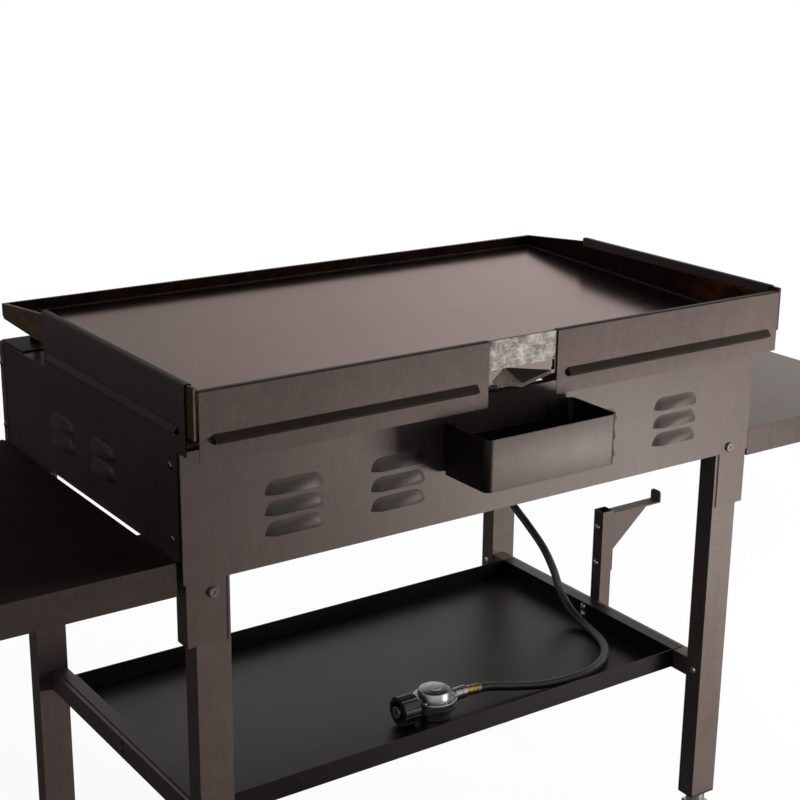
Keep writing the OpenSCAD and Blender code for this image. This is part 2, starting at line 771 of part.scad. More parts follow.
module side_rails() {
  color(coat) both_sides() difference() {
    block([rail_x0, rail_y0, rail_z - rail_h], [rail_x0 + rail_w, rail_y1, rail_z]);
    block([rail_x0 + leg_t, rail_y0 - 1, rail_z - rail_h + leg_t],
          [rail_x0 + rail_w - leg_t, rail_y1 + 1, rail_z - leg_t]);
    for (y = [front_y + sheet + leg_mid, rear_y - sheet - leg_mid])
      translate([rail_x0, y, rail_bolt_z]) rotate([0, 90, 0]) bolt_bore(leg_t);
    for (z = post_bolts) translate([rail_x0 - 1, mid_y, rail_z - rail_h + z]) rotate([0, 90, 0]) bolt_bore(rail_w);
  }
}

module bottom_shelf() {
  y0 = front_y + tray_inset;
  y1 = rear_y - tray_inset;
  color(black) {
    difference() {
      block([-tray_x, y0, tray_floor], [tray_x, y1, rail_z + sheet]);
      block([sheet - tray_x, y0 + sheet, tray_floor + sheet], [tray_x - sheet, y1 - sheet, rail_z + 9]);
      both_sides() block([tray_x - sheet - 3, mid_y - 9, rail_z - rail_h + post_bolts[0] - 2 * bolt_r],
                         [tray_x + 1, mid_y + 9, rail_z]);
    }
    both_sides() block([tray_x - eps, y0, rail_z], [tray_x + tray_lip, y1, rail_z + sheet]);
  }
}

module side_shelf() {
  lo = [shelf_x0, front_y + shelf_inset, shelf_z1 - shelf_h];
  hi = [shelf_x0 + shelf_w, rear_y - shelf_inset, shelf_z1];
  difference() {
    block(lo, hi);
    block(lo + [sheet, sheet, -1], hi - [sheet, sheet, sheet]);
    for (a = arm_spans)
      block([shelf_x0 - 1, a[0] - clear, side_z0 - arm_t - clear], [shelf_x0 + 5, a[0] + a[1] + clear, side_z0]);
  }
}

module left_side_shelf() { color(dark_coat) mirrored(-1) side_shelf(); }
module right_side_shelf() { color(dark_coat) side_shelf(); }

module arm_bolts() {
  for (a = arm_spans) for (k = [0.35, 0.85])
    translate([arm_bolt_x, a[0] + (a[0] > mid_y ? 1 - k : k) * a[1], side_z0 - arm_t]) children();
}

module arm_bolt_bores() { arm_bolts() bolt_bore(arm_t + sheet); }

module shelf_brackets() {
  color(zinc) both_sides() difference() {
    for (a = arm_spans) block([arm_x0, a[0], side_z0 - arm_t], [arm_x1, a[0] + a[1], side_z0]);
    arm_bolt_bores();
  }
}

module tank_post() {
  lo = [post_x, mid_y - post_side / 2, rail_z - rail_h];
  hi = [post_x + post_side, mid_y + post_side / 2, post_z1];
  color(coat) difference() {
    block(lo, hi);
    block(lo + [post_t, post_t, -1], hi + [-post_t, -post_t, 1]);
    for (z = [for (b = post_bolts) rail_z - rail_h + b, for (b = hook_bolts) post_z1 - b])
      translate([post_x - 1, mid_y, z]) rotate([0, 90, 0]) bolt_bore(post_side);
  }
}

module tank_hook() {
  y0 = mid_y - hook_w / 2;
  y1 = mid_y + hook_w / 2;
  end = post_x - hook_l;
  color(coat) difference() {
    union() {
      block([post_x - hook_t, y0, hook_z - hook_flange_l], [post_x, y1, hook_z]);
      block([end, y0, hook_z - hook_t], [post_x, y1, hook_z]);
      block([end, y0, hook_z - hook_t], [end + hook_t, y1, hook_z + hook_up - hook_round]);
      block([end, y0 + hook_round, hook_z], [end + hook_t, y1 - hook_round, hook_z + hook_up]);
      for (y = [y0 + hook_round, y1 - hook_round])
        translate([0, y, hook_z + hook_up - hook_round]) rod_x(end, end + hook_t, hook_round);
      translate([0, y1 - hook_back, 0]) rotate([90, 0, 0]) linear_extrude(hook_t)
        polygon([[post_x - 1, hook_z - 1], [post_x - 0.7 * hook_l, hook_z - 1],
                 [post_x - 0.7 * hook_l, hook_z - 2 * hook_t], [post_x - hook_t, hook_z - 0.66 * hook_flange_l],
                 [post_x - 1, hook_z - 0.66 * hook_flange_l]]);
    }
    for (b = hook_bolts) translate([post_x - hook_t - 1, mid_y, post_z1 - b]) rotate([0, 90, 0]) bolt_bore(hook_t + 1);
  }
}

module frame_bolts() {
  color(zinc) {
    for (sx = [-1, 1]) for (sy = [-1, 1]) at_leg(sx, sy) {
      translate([0, sheet, leg_bolt_z(sx)]) rotate([90, 0, 0]) bolt(sheet + leg_t, 2.3);
      translate([-leg_w / 2, -leg_mid, rail_bolt_z]) rotate([0, 90, 0]) bolt(2 * leg_t);
    }
    both_sides() arm_bolts() bolt(arm_t + sheet);
    for (z = post_bolts) translate([-rail_x0, mid_y, rail_z - rail_h + z]) rotate([0, -90, 0]) bolt(rail_w + post_side);
    for (b = hook_bolts) translate([post_x + post_side, mid_y, post_z1 - b]) rotate([0, -90, 0]) bolt(post_side + hook_t);
  }
}

// Casters
module caster_sockets() {
  half = leg_w / 2;
  color(black) each_leg() {
    block([-half, -leg_d, socket_z], [half, 0, leg_z0]);
    block([leg_t + 0.2 - half, leg_t + 0.2 - leg_d, leg_z0 - 1], [half - leg_t - 0.2, -leg_t - 0.2, leg_z0 + 34]);
    translate([0, -leg_mid, 0]) {
      translate([0, 0, fork_z - 1]) cylinder(h = socket_z - fork_z + 2, r = 5);
      translate([0, 0, fork_z - 3.2]) cylinder(h = 3, r = 8);
    }
  }
}

module fork(braked) {
  cheek = [[-hub_r, fork_z + 5], [hub_r, fork_z + 5], [brake_y + 5, brake_z + 5], [brake_y + 5, brake_z - 4],
           [trail + 9, wheel_r - 4], [trail - 9, wheel_r - 4]];
  plain = [[-hub_r, fork_z + 5], [hub_r, fork_z + 5], [trail + 12, wheel_r + 10], [trail + 9, wheel_r - 4],
           [trail - 9, wheel_r - 4]];
  color(zinc) {
    difference() {
      union() {
        block([-fork_x - fork_t, -hub_r, fork_z], [fork_x + fork_t, hub_r, fork_z + 5]);
        translate([0, 0, fork_z]) cylinder(h = socket_z - fork_z - clear, r = hub_r);
        both_sides() along_x(fork_x, fork_x + fork_t) polygon(braked ? cheek : plain);
        both_sides() translate([0, trail, wheel_r]) rod_x(fork_x, fork_x + fork_t, 10);
      }
      translate([0, 0, fork_z - 1]) cylinder(h = socket_z, r = 5 + fit);
    }
    translate([0, trail, wheel_r]) rod_x(-fork_x - fork_t - 3, fork_x + fork_t + 3, axle_r);
    if (braked) translate([0, brake_y, brake_z]) rod_x(-fork_x - fork_t, fork_x + fork_t, pin_r);
  }
}

module wheel() {
  half = wheel_w / 2;
  color(black) translate([0, trail, wheel_r]) rotate([0, 90, 0]) rotate_extrude()
    polygon([[axle_r + fit, -half], [12, -half], [13, 2 - half], [26, 2 - half], [27, -half], [wheel_r - 3, -half],
             [wheel_r, 3 - half], [wheel_r, half - 3], [wheel_r - 3, half], [27, half], [26, half - 2],
             [13, half - 2], [12, half], [axle_r + fit, half]]);
}

module brake() {
  half = fork_x - clear;
  color([0.45, 0.1, 0.08]) translate([0, brake_y, brake_z]) difference() {
    union() {
      rod_x(-half, half, pin_r + 2.2);
      along_x(-half, half) polygon([[0, 1], [0, 4.2], [8, 6], [30, 1], [30, -2], [8, 2.5]]);
    }
    rod_x(-half - 1, half + 1, pin_r + fit);
  }
}

module fork_front_left() { at_caster(-1, -1) fork(true); }
module fork_front_right() { at_caster(1, -1) fork(true); }
module fork_rear_left() { at_caster(-1, 1) fork(false); }
module fork_rear_right() { at_caster(1, 1) fork(false); }
module wheel_front_left() { at_caster(-1, -1) wheel(); }
module wheel_front_right() { at_caster(1, -1) wheel(); }
module wheel_rear_left() { at_caster(-1, 1) wheel(); }
module wheel_rear_right() { at_caster(1, 1) wheel(); }
module brake_left() { at_caster(-1, -1) brake(); }
module brake_right() { at_caster(1, -1) brake(); }

// Hose: a round tube along a smooth curve through the route's points
function unit(v) = v / norm(v);
function route_point(p, i) = p[min(max(i, 0), len(p) - 1)];
function curve(a, b, c, d, t) =
  0.5 * (2 * b + (c - a) * t + (2 * a - 5 * b + 4 * c - d) * t * t + (3 * b - a - 3 * c + d) * t * t * t);
function smooth(p, n) = concat(
  [for (i = [0 : len(p) - 2]) for (k = [0 : n - 1])
    curve(route_point(p, i - 1), p[i], p[i + 1], route_point(p, i + 2), k / n)],
  [p[len(p) - 1]]);
function heading(p, i) = i == 0 ? [0, 0, -1] : i == len(p) - 1 ? [1, 0, 0] : unit(p[i + 1] - p[i - 1]);
function sides(p, i, u) = i == len(p) ? [] :
  let (h = heading(p, i), v = unit(u - h * (u * h))) concat([v], sides(p, i + 1, v));

module tube(p, r, n) {
  u = sides(p, 0, [1, 0, 0]);
  rings = [for (i = [0 : len(p) - 1]) let (w = cross(heading(p, i), u[i])) for (k = [0 : n - 1])
    p[i] + r * (cos(360 * k / n) * u[i] + sin(360 * k / n) * w)];
  last = (len(p) - 1) * n;
  polyhedron(rings, concat(
    [[for (k = [0 : n - 1]) k]],
    [[for (k = [n - 1 : -1 : 0]) last + k]],
    [for (i = [0 : len(p) - 2]) for (k = [0 : n - 1]) let (a = i * n + k, b = i * n + (k + 1) % n)
      each [[a, a + n, b], [b, a + n, b + n]]]));
}

module gas_hose() { color(black) tube(smooth(hose_points, hose_steps), hose_r, hose_sides); }

module regulator() {
  floor_z = tray_floor + sheet;
  h = 2 * (hose_end[2] - floor_z);
  color(zinc) {
    translate([0, hose_end[1], hose_end[2]]) rod_x(hose_end[0], reg_x, hose_r + 3);
    translate([reg_x, hose_end[1], floor_z]) {
      cylinder(h = h, r = reg_r - 9);
      translate([0, 0, h / 2 - 8]) cylinder(h = 16, r = reg_r);
    }
    translate([0, hose_end[1], hose_end[2]]) {
      rod_x(reg_x, reg_x + reg_r + 34, 7);
      rod_x(reg_x + reg_r + 32, reg_x + reg_r + 34, 9);
    }
  }
}

module tank_nut() {
  x0 = reg_x + reg_r + 4;
  color(black) translate([0, hose_end[1], hose_end[2]]) difference() {
    rod_x(x0, x0 + 26, nut_r);
    for (a = [0 : 30 : 330]) rotate([a, 0, 0]) translate([0, 0, nut_r + 0.6]) rod_x(x0 - 1, x0 + 27, 2);
    rod_x(x0 - 1, x0 + 30, 7 + fit);
    rod_x(x0 + 6, x0 + 30, nut_r - 7);
  }
}

griddle_plate();
front_lip();
rear_wall();
drain_bridge();
side_walls();
drain_spout();
plate_stiffeners();
levelling_feet();
guard_left();
guard_right();
guard_rear_left();
guard_rear_right();
strip_left();
strip_right();
strip_rear_left();
strip_rear_right();
front_panel();
rear_panel();
left_side_panel();
right_side_panel();
corner_brackets();
burner_rails();
burners();
gas_manifold();
gas_valves();
inlet_elbow();
knob_1();
knob_2();
knob_3();
knob_4();
knob_bezels();
igniter_body();
igniter_button();
spark_electrodes();
grease_cup();
cup_bracket();
legs();
side_rails();
bottom_shelf();
left_side_shelf();
right_side_shelf();
shelf_brackets();
caster_sockets();
fork_front_left();
fork_front_right();
fork_rear_left();
fork_rear_right();
wheel_front_left();
wheel_front_right();
wheel_rear_left();
wheel_rear_right();
brake_left();
brake_right();
tank_post();
tank_hook();
gas_hose();
regulator();
tank_nut();
panel_screws();
frame_bolts();
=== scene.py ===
import bpy
import bmesh
import json
import math
from mathutils import Vector, Matrix

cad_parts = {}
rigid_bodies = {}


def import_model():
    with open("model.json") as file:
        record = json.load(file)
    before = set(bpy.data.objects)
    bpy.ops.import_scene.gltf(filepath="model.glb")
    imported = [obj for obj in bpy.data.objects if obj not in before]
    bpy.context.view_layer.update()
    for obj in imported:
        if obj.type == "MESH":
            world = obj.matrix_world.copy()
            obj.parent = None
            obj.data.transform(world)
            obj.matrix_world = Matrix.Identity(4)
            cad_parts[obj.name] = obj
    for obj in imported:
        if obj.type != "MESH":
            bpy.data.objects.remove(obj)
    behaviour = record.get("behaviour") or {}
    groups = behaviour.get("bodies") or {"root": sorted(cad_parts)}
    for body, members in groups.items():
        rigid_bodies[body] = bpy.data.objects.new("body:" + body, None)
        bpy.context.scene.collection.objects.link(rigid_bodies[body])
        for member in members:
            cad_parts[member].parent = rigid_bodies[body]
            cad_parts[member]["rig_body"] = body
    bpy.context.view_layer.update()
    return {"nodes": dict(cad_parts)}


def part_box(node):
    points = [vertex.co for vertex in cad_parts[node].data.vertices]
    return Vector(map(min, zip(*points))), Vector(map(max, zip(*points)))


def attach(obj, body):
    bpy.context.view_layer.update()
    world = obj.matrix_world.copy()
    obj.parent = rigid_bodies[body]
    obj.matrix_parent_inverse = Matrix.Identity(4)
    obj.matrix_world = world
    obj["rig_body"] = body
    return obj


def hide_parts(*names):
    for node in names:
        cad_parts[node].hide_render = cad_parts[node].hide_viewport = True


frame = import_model()
scene = bpy.context.scene
scene.view_settings.view_transform = "Standard"
print("frame loaded,", len(frame["nodes"]), "nodes")

# camera behind the cart, on the right of a user who stands at the front
shot = {
    "place": (1.2283, 1.7921, 1.4154),
    "right": (-0.82467, 0.56552, 0.01026),
    "up": (-0.15732, -0.24676, 0.95622),
    "lens": 72.25, "sensor": 36,
}


def makeCamera(s):
    data = bpy.data.cameras.new("camera")
    data.lens, data.sensor_width = s["lens"], s["sensor"]
    cam = bpy.data.objects.new("camera", data)
    right, up = Vector(s["right"]).normalized(), Vector(s["up"]).normalized()
    back = right.cross(up).normalized()
    turn = Matrix((right, back.cross(right), back)).transposed()
    cam.matrix_world = Matrix.Translation(s["place"]) @ turn.to_4x4()
    scene.collection.objects.link(cam)
    scene.camera = cam


makeCamera(shot)

# sizes of the walled plate, in metres, for the guards and the welds
size = {
    "plateW": 0.924, "plateY0": -0.282, "plateY1": 0.283, "plateZ": 0.8515, "fall": 0.0205, "plateT": 0.005,
    "wallT": 0.005, "sideWallZ": 0.9125, "rearWallZ": 0.9075, "lipH": 0.021, "notchW": 0.104,
}


# node maths as Python expressions, for materials and geometry alike
class Val:
    def __init__(self, home, socket):
        self.home, self.socket = home, socket

    def calc(self, op, a, b=0.0):
        return self.home.node("ShaderNodeMath", {"operation": op}, {0: a, 1: b})

    def __add__(self, o):
        return self.calc("ADD", self, o)

    def __sub__(self, o):
        return self.calc("SUBTRACT", self, o)

    def __rsub__(self, o):
        return self.calc("SUBTRACT", o, self)

    def __mul__(self, o):
        return self.calc("MULTIPLY", self, o)

    def __truediv__(self, o):
        return self.calc("DIVIDE", self, o)

    def __rtruediv__(self, o):
        return self.calc("DIVIDE", o, self)

    def __abs__(self):
        return self.calc("ABSOLUTE", self)

    def top(self, o):
        return self.calc("MAXIMUM", self, o)

    def wave(self):
        return self.calc("SINE", self)

    def ease(self, a, b):
        return self.home.node("ShaderNodeMapRange", {"interpolation_type": "SMOOTHSTEP"},
                              {0: self, 1: a, 2: b})

    def within(self, low, high, soft):  # 1 from low to high, with soft edges
        return self.ease(low, low + soft) * (1 - self.ease(high - soft, high))

    __radd__ = __add__
    __rmul__ = __mul__


class Nodes:
    def __init__(self, tree):
        self.tree = tree

    def node(self, kind, settings, sockets, out=0):
        n = self.tree.nodes.new(kind)
        for key, value in settings.items():
            setattr(n, key, value)
        for key, value in sockets.items():
            for v in value if isinstance(value, list) else [value]:
                if isinstance(v, Val):
                    self.tree.links.new(v.socket, n.inputs[key])
                else:
                    n.inputs[key].default_value = v
        return Val(self, n.outputs[out])

    def split(self, vector, which):
        return self.node("ShaderNodeSeparateXYZ", {}, {0: vector}, which)

    def noise(self, scale, detail, rough=0.55, at=None, warp=0.0):
        return self.node("ShaderNodeTexNoise", {},
                         {"Vector": at or self.place, "Scale": scale, "Detail": detail,
                          "Roughness": rough, "Distortion": warp})


class Look(Nodes):
    def __init__(self, name):
        self.mat = bpy.data.materials.new(name)
        self.mat.use_nodes = True
        super().__init__(self.mat.node_tree)
        self.tree.nodes.clear()
        self.out = self.tree.nodes.new("ShaderNodeOutputMaterial")
        self.place = self.node("ShaderNodeTexCoord", {}, {}, "Object")

    def axis(self, which):
        return self.split(self.place, which)

    def facing(self, which):
        return self.split(self.node("ShaderNodeNewGeometry", {}, {}, "Normal"), which)

    def stretch(self, x, y, z):
        return self.node("ShaderNodeMapping", {}, {0: self.place, "Scale": (x, y, z)})

    def blend(self, part, a, b):
        tone = lambda c: (*c, 1) if isinstance(c, tuple) else c
        return self.node("ShaderNodeMix", {"data_type": "RGBA"}, {0: part, 6: tone(a), 7: tone(b)}, 2)

    def bump(self, height, strength, distance, under=None):
        sockets = {"Height": height, "Strength": strength, "Distance": distance}
        if under:
            sockets["Normal"] = under
        return self.node("ShaderNodeBump", {}, sockets)

    def finish(self, color, rough, metal, normal, **more):
        sockets = {"Base Color": color, "Roughness": rough, "Metallic": metal, "Normal": normal}
        for key, value in more.items():
            sockets[key.replace("_", " ")] = value
        shader = self.node("ShaderNodeBsdfPrincipled", {}, sockets)
        self.tree.links.new(shader.socket, self.out.inputs[0])
        return self.mat


# a geometry tree: named inputs, one material, grown on a mesh into a plain mesh
class Grower(Nodes):
    def __init__(self, name, inputs):
        super().__init__(bpy.data.node_groups.new(name, "GeometryNodeTree"))
        kinds = {bool: "NodeSocketBool", int: "NodeSocketInt", float: "NodeSocketFloat"}
        face = self.tree.interface
        face.new_socket("Geometry", in_out="INPUT", socket_type="NodeSocketGeometry")
        self.keys = {}
        for label, value in inputs.items():
            socket = face.new_socket(label, in_out="INPUT", socket_type=kinds[type(value)])
            socket.default_value = value
            self.keys[label] = socket.identifier
        self.keys["Material"] = face.new_socket("Material", in_out="INPUT",
                                                socket_type="NodeSocketMaterial").identifier
        face.new_socket("Geometry", in_out="OUTPUT", socket_type="NodeSocketGeometry")
        self.start = self.tree.nodes.new("NodeGroupInput")
        self.place = self.node("GeometryNodeInputPosition", {}, {})

    def give(self, label):
        return Val(self, self.start.outputs[label])

    def vector(self, x, y, z):
        return self.node("ShaderNodeCombineXYZ", {}, {0: x, 1: y, 2: z})

    def close(self, geometry):
        real = self.node("GeometryNodeRealizeInstances", {}, {"Geometry": geometry})
        done = self.node("GeometryNodeSetMaterial", {}, {"Geometry": real, "Material": self.give("Material")})
        self.tree.links.new(done.socket, self.tree.nodes.new("NodeGroupOutput").inputs[0])
        return self

    def grow(self, name, seed, finish, **values):
        obj = bpy.data.objects.new(name, seed)
        scene.collection.objects.link(obj)
        mod = obj.modifiers.new("grow", "NODES")
        mod.node_group = self.tree
        for label, value in values.items():
            mod[self.keys[label]] = value
        mod[self.keys["Material"]] = looks[finish]
        mesh = bpy.data.meshes.new_from_object(obj.evaluated_get(bpy.context.evaluated_depsgraph_get()))
        obj.modifiers.clear()
        bpy.data.objects.remove(obj)
        mesh.name = name
        return mesh


# a colour of 0 to 255 as linear values
def tint(r, g, b):
    return tuple(((v / 255 + 0.055) / 1.055) ** 2.4 if v > 10 else v / 3295 for v in (r, g, b))


# places of the shade and shadow that are painted into the coat, in metres
coatMarks = {
    "seamX": (0.4012, 0.4062), "seamZ": (0.580, 0.668), "tabShadowSoft": (0.0008, 0.003),  # leg beside the tab
    "guardEnd": 0.2664, "sideEnd": 0.2350, "endSoft": 0.0008,  # shadow lines at the rear ends
    "louvreY": (0.2436, 0.2458), "louvreZ": (0.672, 0.677), "louvreShadeFull": 0.85,  # where a louvre stands out
    "cupInset": 0.0008, "cupSoft": 0.0004,
}


# warm dark powder coat on the sheet metal: fine even grain, faint wiped streaks, a few pale flecks; the
# optional marks paint shade and shadow into the colour
def coatLook(name, base, shine=0.46, streak=1.0, gleam=0.32, edge=None, inside=None, seam=None, end=None,
             top=None, louvreShade=None):
    k, m = Look(name), coatMarks
    x, y, z = [k.axis(a) for a in "XYZ"]
    cloud = k.noise(5.5, 4, 0.6, warp=0.4)
    wipe = k.noise(70, 4, 0.65, k.stretch(1, 1, 0.10))
    grain = k.noise(900, 3, 0.6)
    blot = k.noise(42, 3, 0.55)
    mottle = k.noise(230, 2, 0.6)
    fleck = k.noise(330, 1, 0.5).ease(0.735, 0.79)
    dark, pale, dust = [tuple(v * a + b for v in base) for a, b in ((0.74, 0), (1.30, 0), (0.6, 0.16))]
    mix = (cloud * 0.40 + wipe * (0.20 * streak) + grain * 0.22 + blot * 0.18 + mottle * 0.30
           - (0.04 * streak + 0.09))
    color = k.blend(fleck * 0.5, k.blend(mix.ease(0.24, 0.80), dark, pale), dust)
    # painted shade: the inside of the grease cup is near black
    if inside:
        low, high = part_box("grease_cup")
        inset, soft = m["cupInset"], m["cupSoft"]
        deep = (x.within(low[0] + inset, high[0] - inset, soft)
                * y.within(low[1] + inset, high[1] - inset, soft))
        color = k.blend(deep, color, k.blend(cloud.ease(0.3, 0.7), inside, tuple(v * 1.9 for v in inside)))
    # painted shadow: a dark band on the leg's face beside the rear panel's tab
    if seam:
        softX, softZ = m["tabShadowSoft"]
        gap = abs(x).within(*m["seamX"], softX) * z.within(*m["seamZ"], softZ)
        color = k.blend(gap * abs(k.facing("Y")).ease(0.5, 0.8), color, seam)
    # painted shadow line along the rear end
    if end:
        start, tone = end
        color = k.blend(y.ease(start - m["endSoft"], start + m["endSoft"]), color, tone)
    # painted shade on the faces turned to +X and -X
    if edge:
        color = k.blend(abs(k.facing("X")).ease(0.06, 0.5), color, edge)
    # painted shade: the louvre faces are darker than the panel, and the ends that face the key lamp stay
    # light
    if louvreShade:  # the ends that face the key lamp stay light
        louvreShadeMask = y.ease(*m["louvreY"]) * z.ease(*m["louvreZ"]) * k.facing("X").ease(-0.68, -0.42)
        color = k.blend(louvreShadeMask * m["louvreShadeFull"], color, louvreShade)
    # painted shade on faces turned up
    if top:
        color = k.blend(k.facing("Z").ease(0.1, 0.6), color, top)
    rough = shine + (cloud - 0.5) * 0.16 + (grain - 0.5) * 0.10
    peel = k.bump(grain, 0.10, 0.0006)
    sag = k.bump(k.noise(7, 1, 0.4), 0.05, 0.005, peel)
    return k.finish(color, rough, 0.0, sag, Specular_Tint=(1.0, 0.88, 0.84, 1), Specular_IOR_Level=gleam)


# rolled plate, oiled and baked to a satin brown-grey with faint smears and a few pits
def plateLook():
    k = Look("bakedPlate")
    smear = k.noise(9, 4, 0.62, k.stretch(0.5, 1.4, 1), 0.8)
    cloud = k.noise(3.2, 3, 0.5, warp=0.5)
    grain = k.noise(900, 2, 0.5)
    pit = k.noise(160, 2, 0.5).ease(0.74, 0.80)
    mix = (smear * 0.5 + cloud * 0.4 + grain * 0.16 - 0.03).ease(0.25, 0.75)
    color = k.blend(pit, k.blend(mix, (0.140, 0.106, 0.099), (0.182, 0.139, 0.130)), (0.06, 0.047, 0.043))
    rough = 0.18 + (smear - 0.5) * 0.08 + (cloud - 0.5) * 0.05 + pit * 0.15
    ripple = k.bump(grain, 0.05, 0.0004)
    # painted shade: faces that do not face up, the plate's edges, are near black and not metal
    up = k.facing("Z").ease(0.4, 0.7)
    color = k.blend(up, k.blend(mix, (0.008, 0.006, 0.005), (0.024, 0.018, 0.015)), color)
    return k.finish(color, rough + (1 - up) * 0.25, up, k.bump(k.noise(6, 1, 0.4), 0.05, 0.004, ripple),
                    Specular_Tint=(0.98, 0.88, 0.85, 1))


# welded walls: soot-brown inside, browned outside, bare along the top edge and the cut ends
def wallLook():
    k = Look("brownedWall")
    up, side = k.facing("Z"), abs(k.facing("X"))
    y = k.axis("Y")
    rust = k.noise(26, 5, 0.62, k.stretch(1, 1, 1.8), 0.6)
    fine = k.noise(420, 3, 0.6)
    run = k.noise(60, 3, 0.55, k.stretch(1, 1, 0.12))
    inside = k.node("ShaderNodeVectorMath", {"operation": "DOT_PRODUCT"},
                    {0: k.node("ShaderNodeNewGeometry", {}, {}, "Normal"), 1: k.stretch(1, 1, 0)}, "Value")
    soot = k.blend((rust * 0.7 + run * 0.4).ease(0.35, 0.8), (0.0045, 0.0028, 0.0022), (0.022, 0.011, 0.006))
    amber = k.blend((rust * 0.8 + fine * 0.3).ease(0.42, 0.75), (0.130, 0.044, 0.010), (0.310, 0.122, 0.028))
    near = y.ease(0.06, 0.24) * side * rust.ease(0.34, 0.58)
    brown = k.blend((rust * 0.7 + fine * 0.4).ease(0.35, 0.75), (0.160, 0.110, 0.070), (0.290, 0.205, 0.138))
    bare = k.blend((fine * 0.5 + rust * 0.5).ease(0.3, 0.7), (0.15, 0.125, 0.11), (0.34, 0.30, 0.27))
    tan = k.blend((rust * 0.5 + run * 0.6).ease(0.35, 0.75), (0.200, 0.122, 0.066), (0.440, 0.310, 0.210))
    rearEnd = k.blend(k.axis("X").ease(0.0, 0.1), tint(96, 84, 80), tan)
    brown = k.blend(k.facing("Y").ease(0.5, 0.8), brown, rearEnd)
    color = k.blend(inside.ease(-0.02, 0.02), k.blend(near * 0.8, soot, amber), brown)
    color = k.blend(up.ease(0.4, 0.7), color, bare)
    rough = 0.50 + (rust - 0.5) * 0.3 + (fine - 0.5) * 0.15
    return k.finish(color, rough, 0.0, k.bump(fine * 0.6 + rust * 0.6, 0.22, 0.0009), Specular_IOR_Level=0.03)


# rear wall: the same inside, bare scratched steel on its outer face and in the drain notch
def rearWallLook():
    k = Look("scuffedWall")
    back, up = k.facing("Y"), k.facing("Z")
    fine = k.noise(380, 4, 0.65)
    blot = k.noise(62, 5, 0.68, k.stretch(1, 1, 0.8), 0.35)
    scratch = k.noise(260, 2, 0.5, k.stretch(0.25, 1, 1.6), 0.3)
    rust = k.noise(26, 5, 0.62, k.stretch(1, 1, 1.8), 0.6)
    soot = k.blend(rust.ease(0.35, 0.75), (0.0045, 0.0028, 0.0022), (0.020, 0.011, 0.007))
    silver = k.blend((blot * 0.85 + scratch * 0.22 + fine * 0.24).ease(0.42, 0.86), (0.30, 0.277, 0.256),
                     (0.07, 0.062, 0.055))
    bare = k.blend(fine.ease(0.3, 0.7), (0.15, 0.125, 0.11), (0.34, 0.30, 0.27))
    color = k.blend(up.ease(0.4, 0.7), k.blend(back.ease(0.2, 0.5), soot, silver), bare)
    rough = 0.42 + (blot - 0.5) * 0.35
    return k.finish(color, rough, back.ease(0.2, 0.5) * 0.3, k.bump(blot + scratch * 0.4, 0.25, 0.0007),
                    Specular_IOR_Level=0.05)


# bare worked steel, for the folded spout and the burner tubes; faces turned to +X can take a darker tone,
# which is painted shade
def bareLook(name, pale, dark, metal, rough, gleam=0.5, lee=None):
    k = Look(name)
    blot = k.noise(60, 4, 0.62, warp=0.7)
    hair = k.noise(500, 2, 0.5, k.stretch(0.08, 1, 1))
    color = k.blend((blot * 0.8 + hair * 0.3).ease(0.35, 0.85), pale, dark)
    # painted shade on the faces turned to +X
    if lee:
        color = k.blend(k.facing("X").ease(-0.1, 0.1), color, lee)
    return k.finish(color, rough + (blot - 0.5) * 0.25, metal, k.bump(hair + blot * 0.5, 0.12, 0.0005),
                    Specular_IOR_Level=gleam)


# zinc plate: pale, slightly mottled
def zincLook(name, base, rough, metal=0.85):
    k = Look(name)
    spangle = k.node("ShaderNodeTexVoronoi", {}, {"Vector": k.place, "Scale": 120.0}, "Color")
    cell = k.node("ShaderNodeSeparateColor", {}, {0: spangle}, 0)
    haze = k.noise(30, 3, 0.6)
    dim = tuple(v * 0.72 for v in base)
    color = k.blend((cell * 0.35 + haze * 0.65).ease(0.25, 0.8), dim, base)
    return k.finish(color, rough + (haze - 0.5) * 0.22, metal, k.bump(k.noise(700, 2, 0.5), 0.05, 0.0004))


def brassLook():
    k = Look("plainBrass")
    haze = k.noise(45, 4, 0.6, warp=0.5)
    turned = k.noise(900, 1, 0.5, k.stretch(1, 0.06, 1))
    color = k.blend(haze.ease(0.3, 0.75), (0.50, 0.34, 0.12), (0.28, 0.18, 0.07))
    return k.finish(color, 0.30 + haze * 0.16, 0.95, k.bump(turned, 0.06, 0.0003))


def plasticLook(name, base):
    k = Look(name)
    grain = k.noise(1300, 2, 0.6)
    scuff = k.noise(24, 4, 0.65, warp=0.8)
    color = k.blend((scuff * 0.8 + grain * 0.2).ease(0.3, 0.8), base, tuple(v * 1.35 + 0.004 for v in base))
    return k.finish(color, 0.45 + (scuff - 0.5) * 0.18, 0.0, k.bump(grain, 0.12, 0.0004))


def rubberLook(name, base, rough=0.68):
    k = Look(name)
    grain = k.noise(1100, 3, 0.6)
    dust = k.noise(18, 4, 0.65, warp=0.6)
    color = k.blend((dust * 0.7 + grain * 0.3).ease(0.38, 0.8), base, tuple(v * 1.8 + 0.012 for v in base))
    return k.finish(color, rough + (dust - 0.5) * 0.2, 0.0, k.bump(grain, 0.2, 0.0004))


def ceramicLook():
    k = Look("glazedCeramic")
    haze = k.noise(90, 3, 0.6)
    color = k.blend(haze.ease(0.35, 0.75), (0.74, 0.71, 0.64), (0.58, 0.54, 0.47))
    return k.finish(color, 0.22 + haze * 0.1, 0.0, k.bump(haze, 0.04, 0.0005))


def weldLook():
    k = Look("weldBead")
    heat = k.noise(110, 4, 0.6, warp=0.6)
    fine = k.noise(900, 2, 0.6)
    color = k.blend((heat * 0.8 + fine * 0.2).ease(0.35, 0.75), (0.010, 0.006, 0.004), (0.055, 0.036, 0.024))
    return k.finish(color, 0.42 + heat * 0.2, 0.1, k.bump(fine, 0.15, 0.0005), Specular_IOR_Level=0.1)


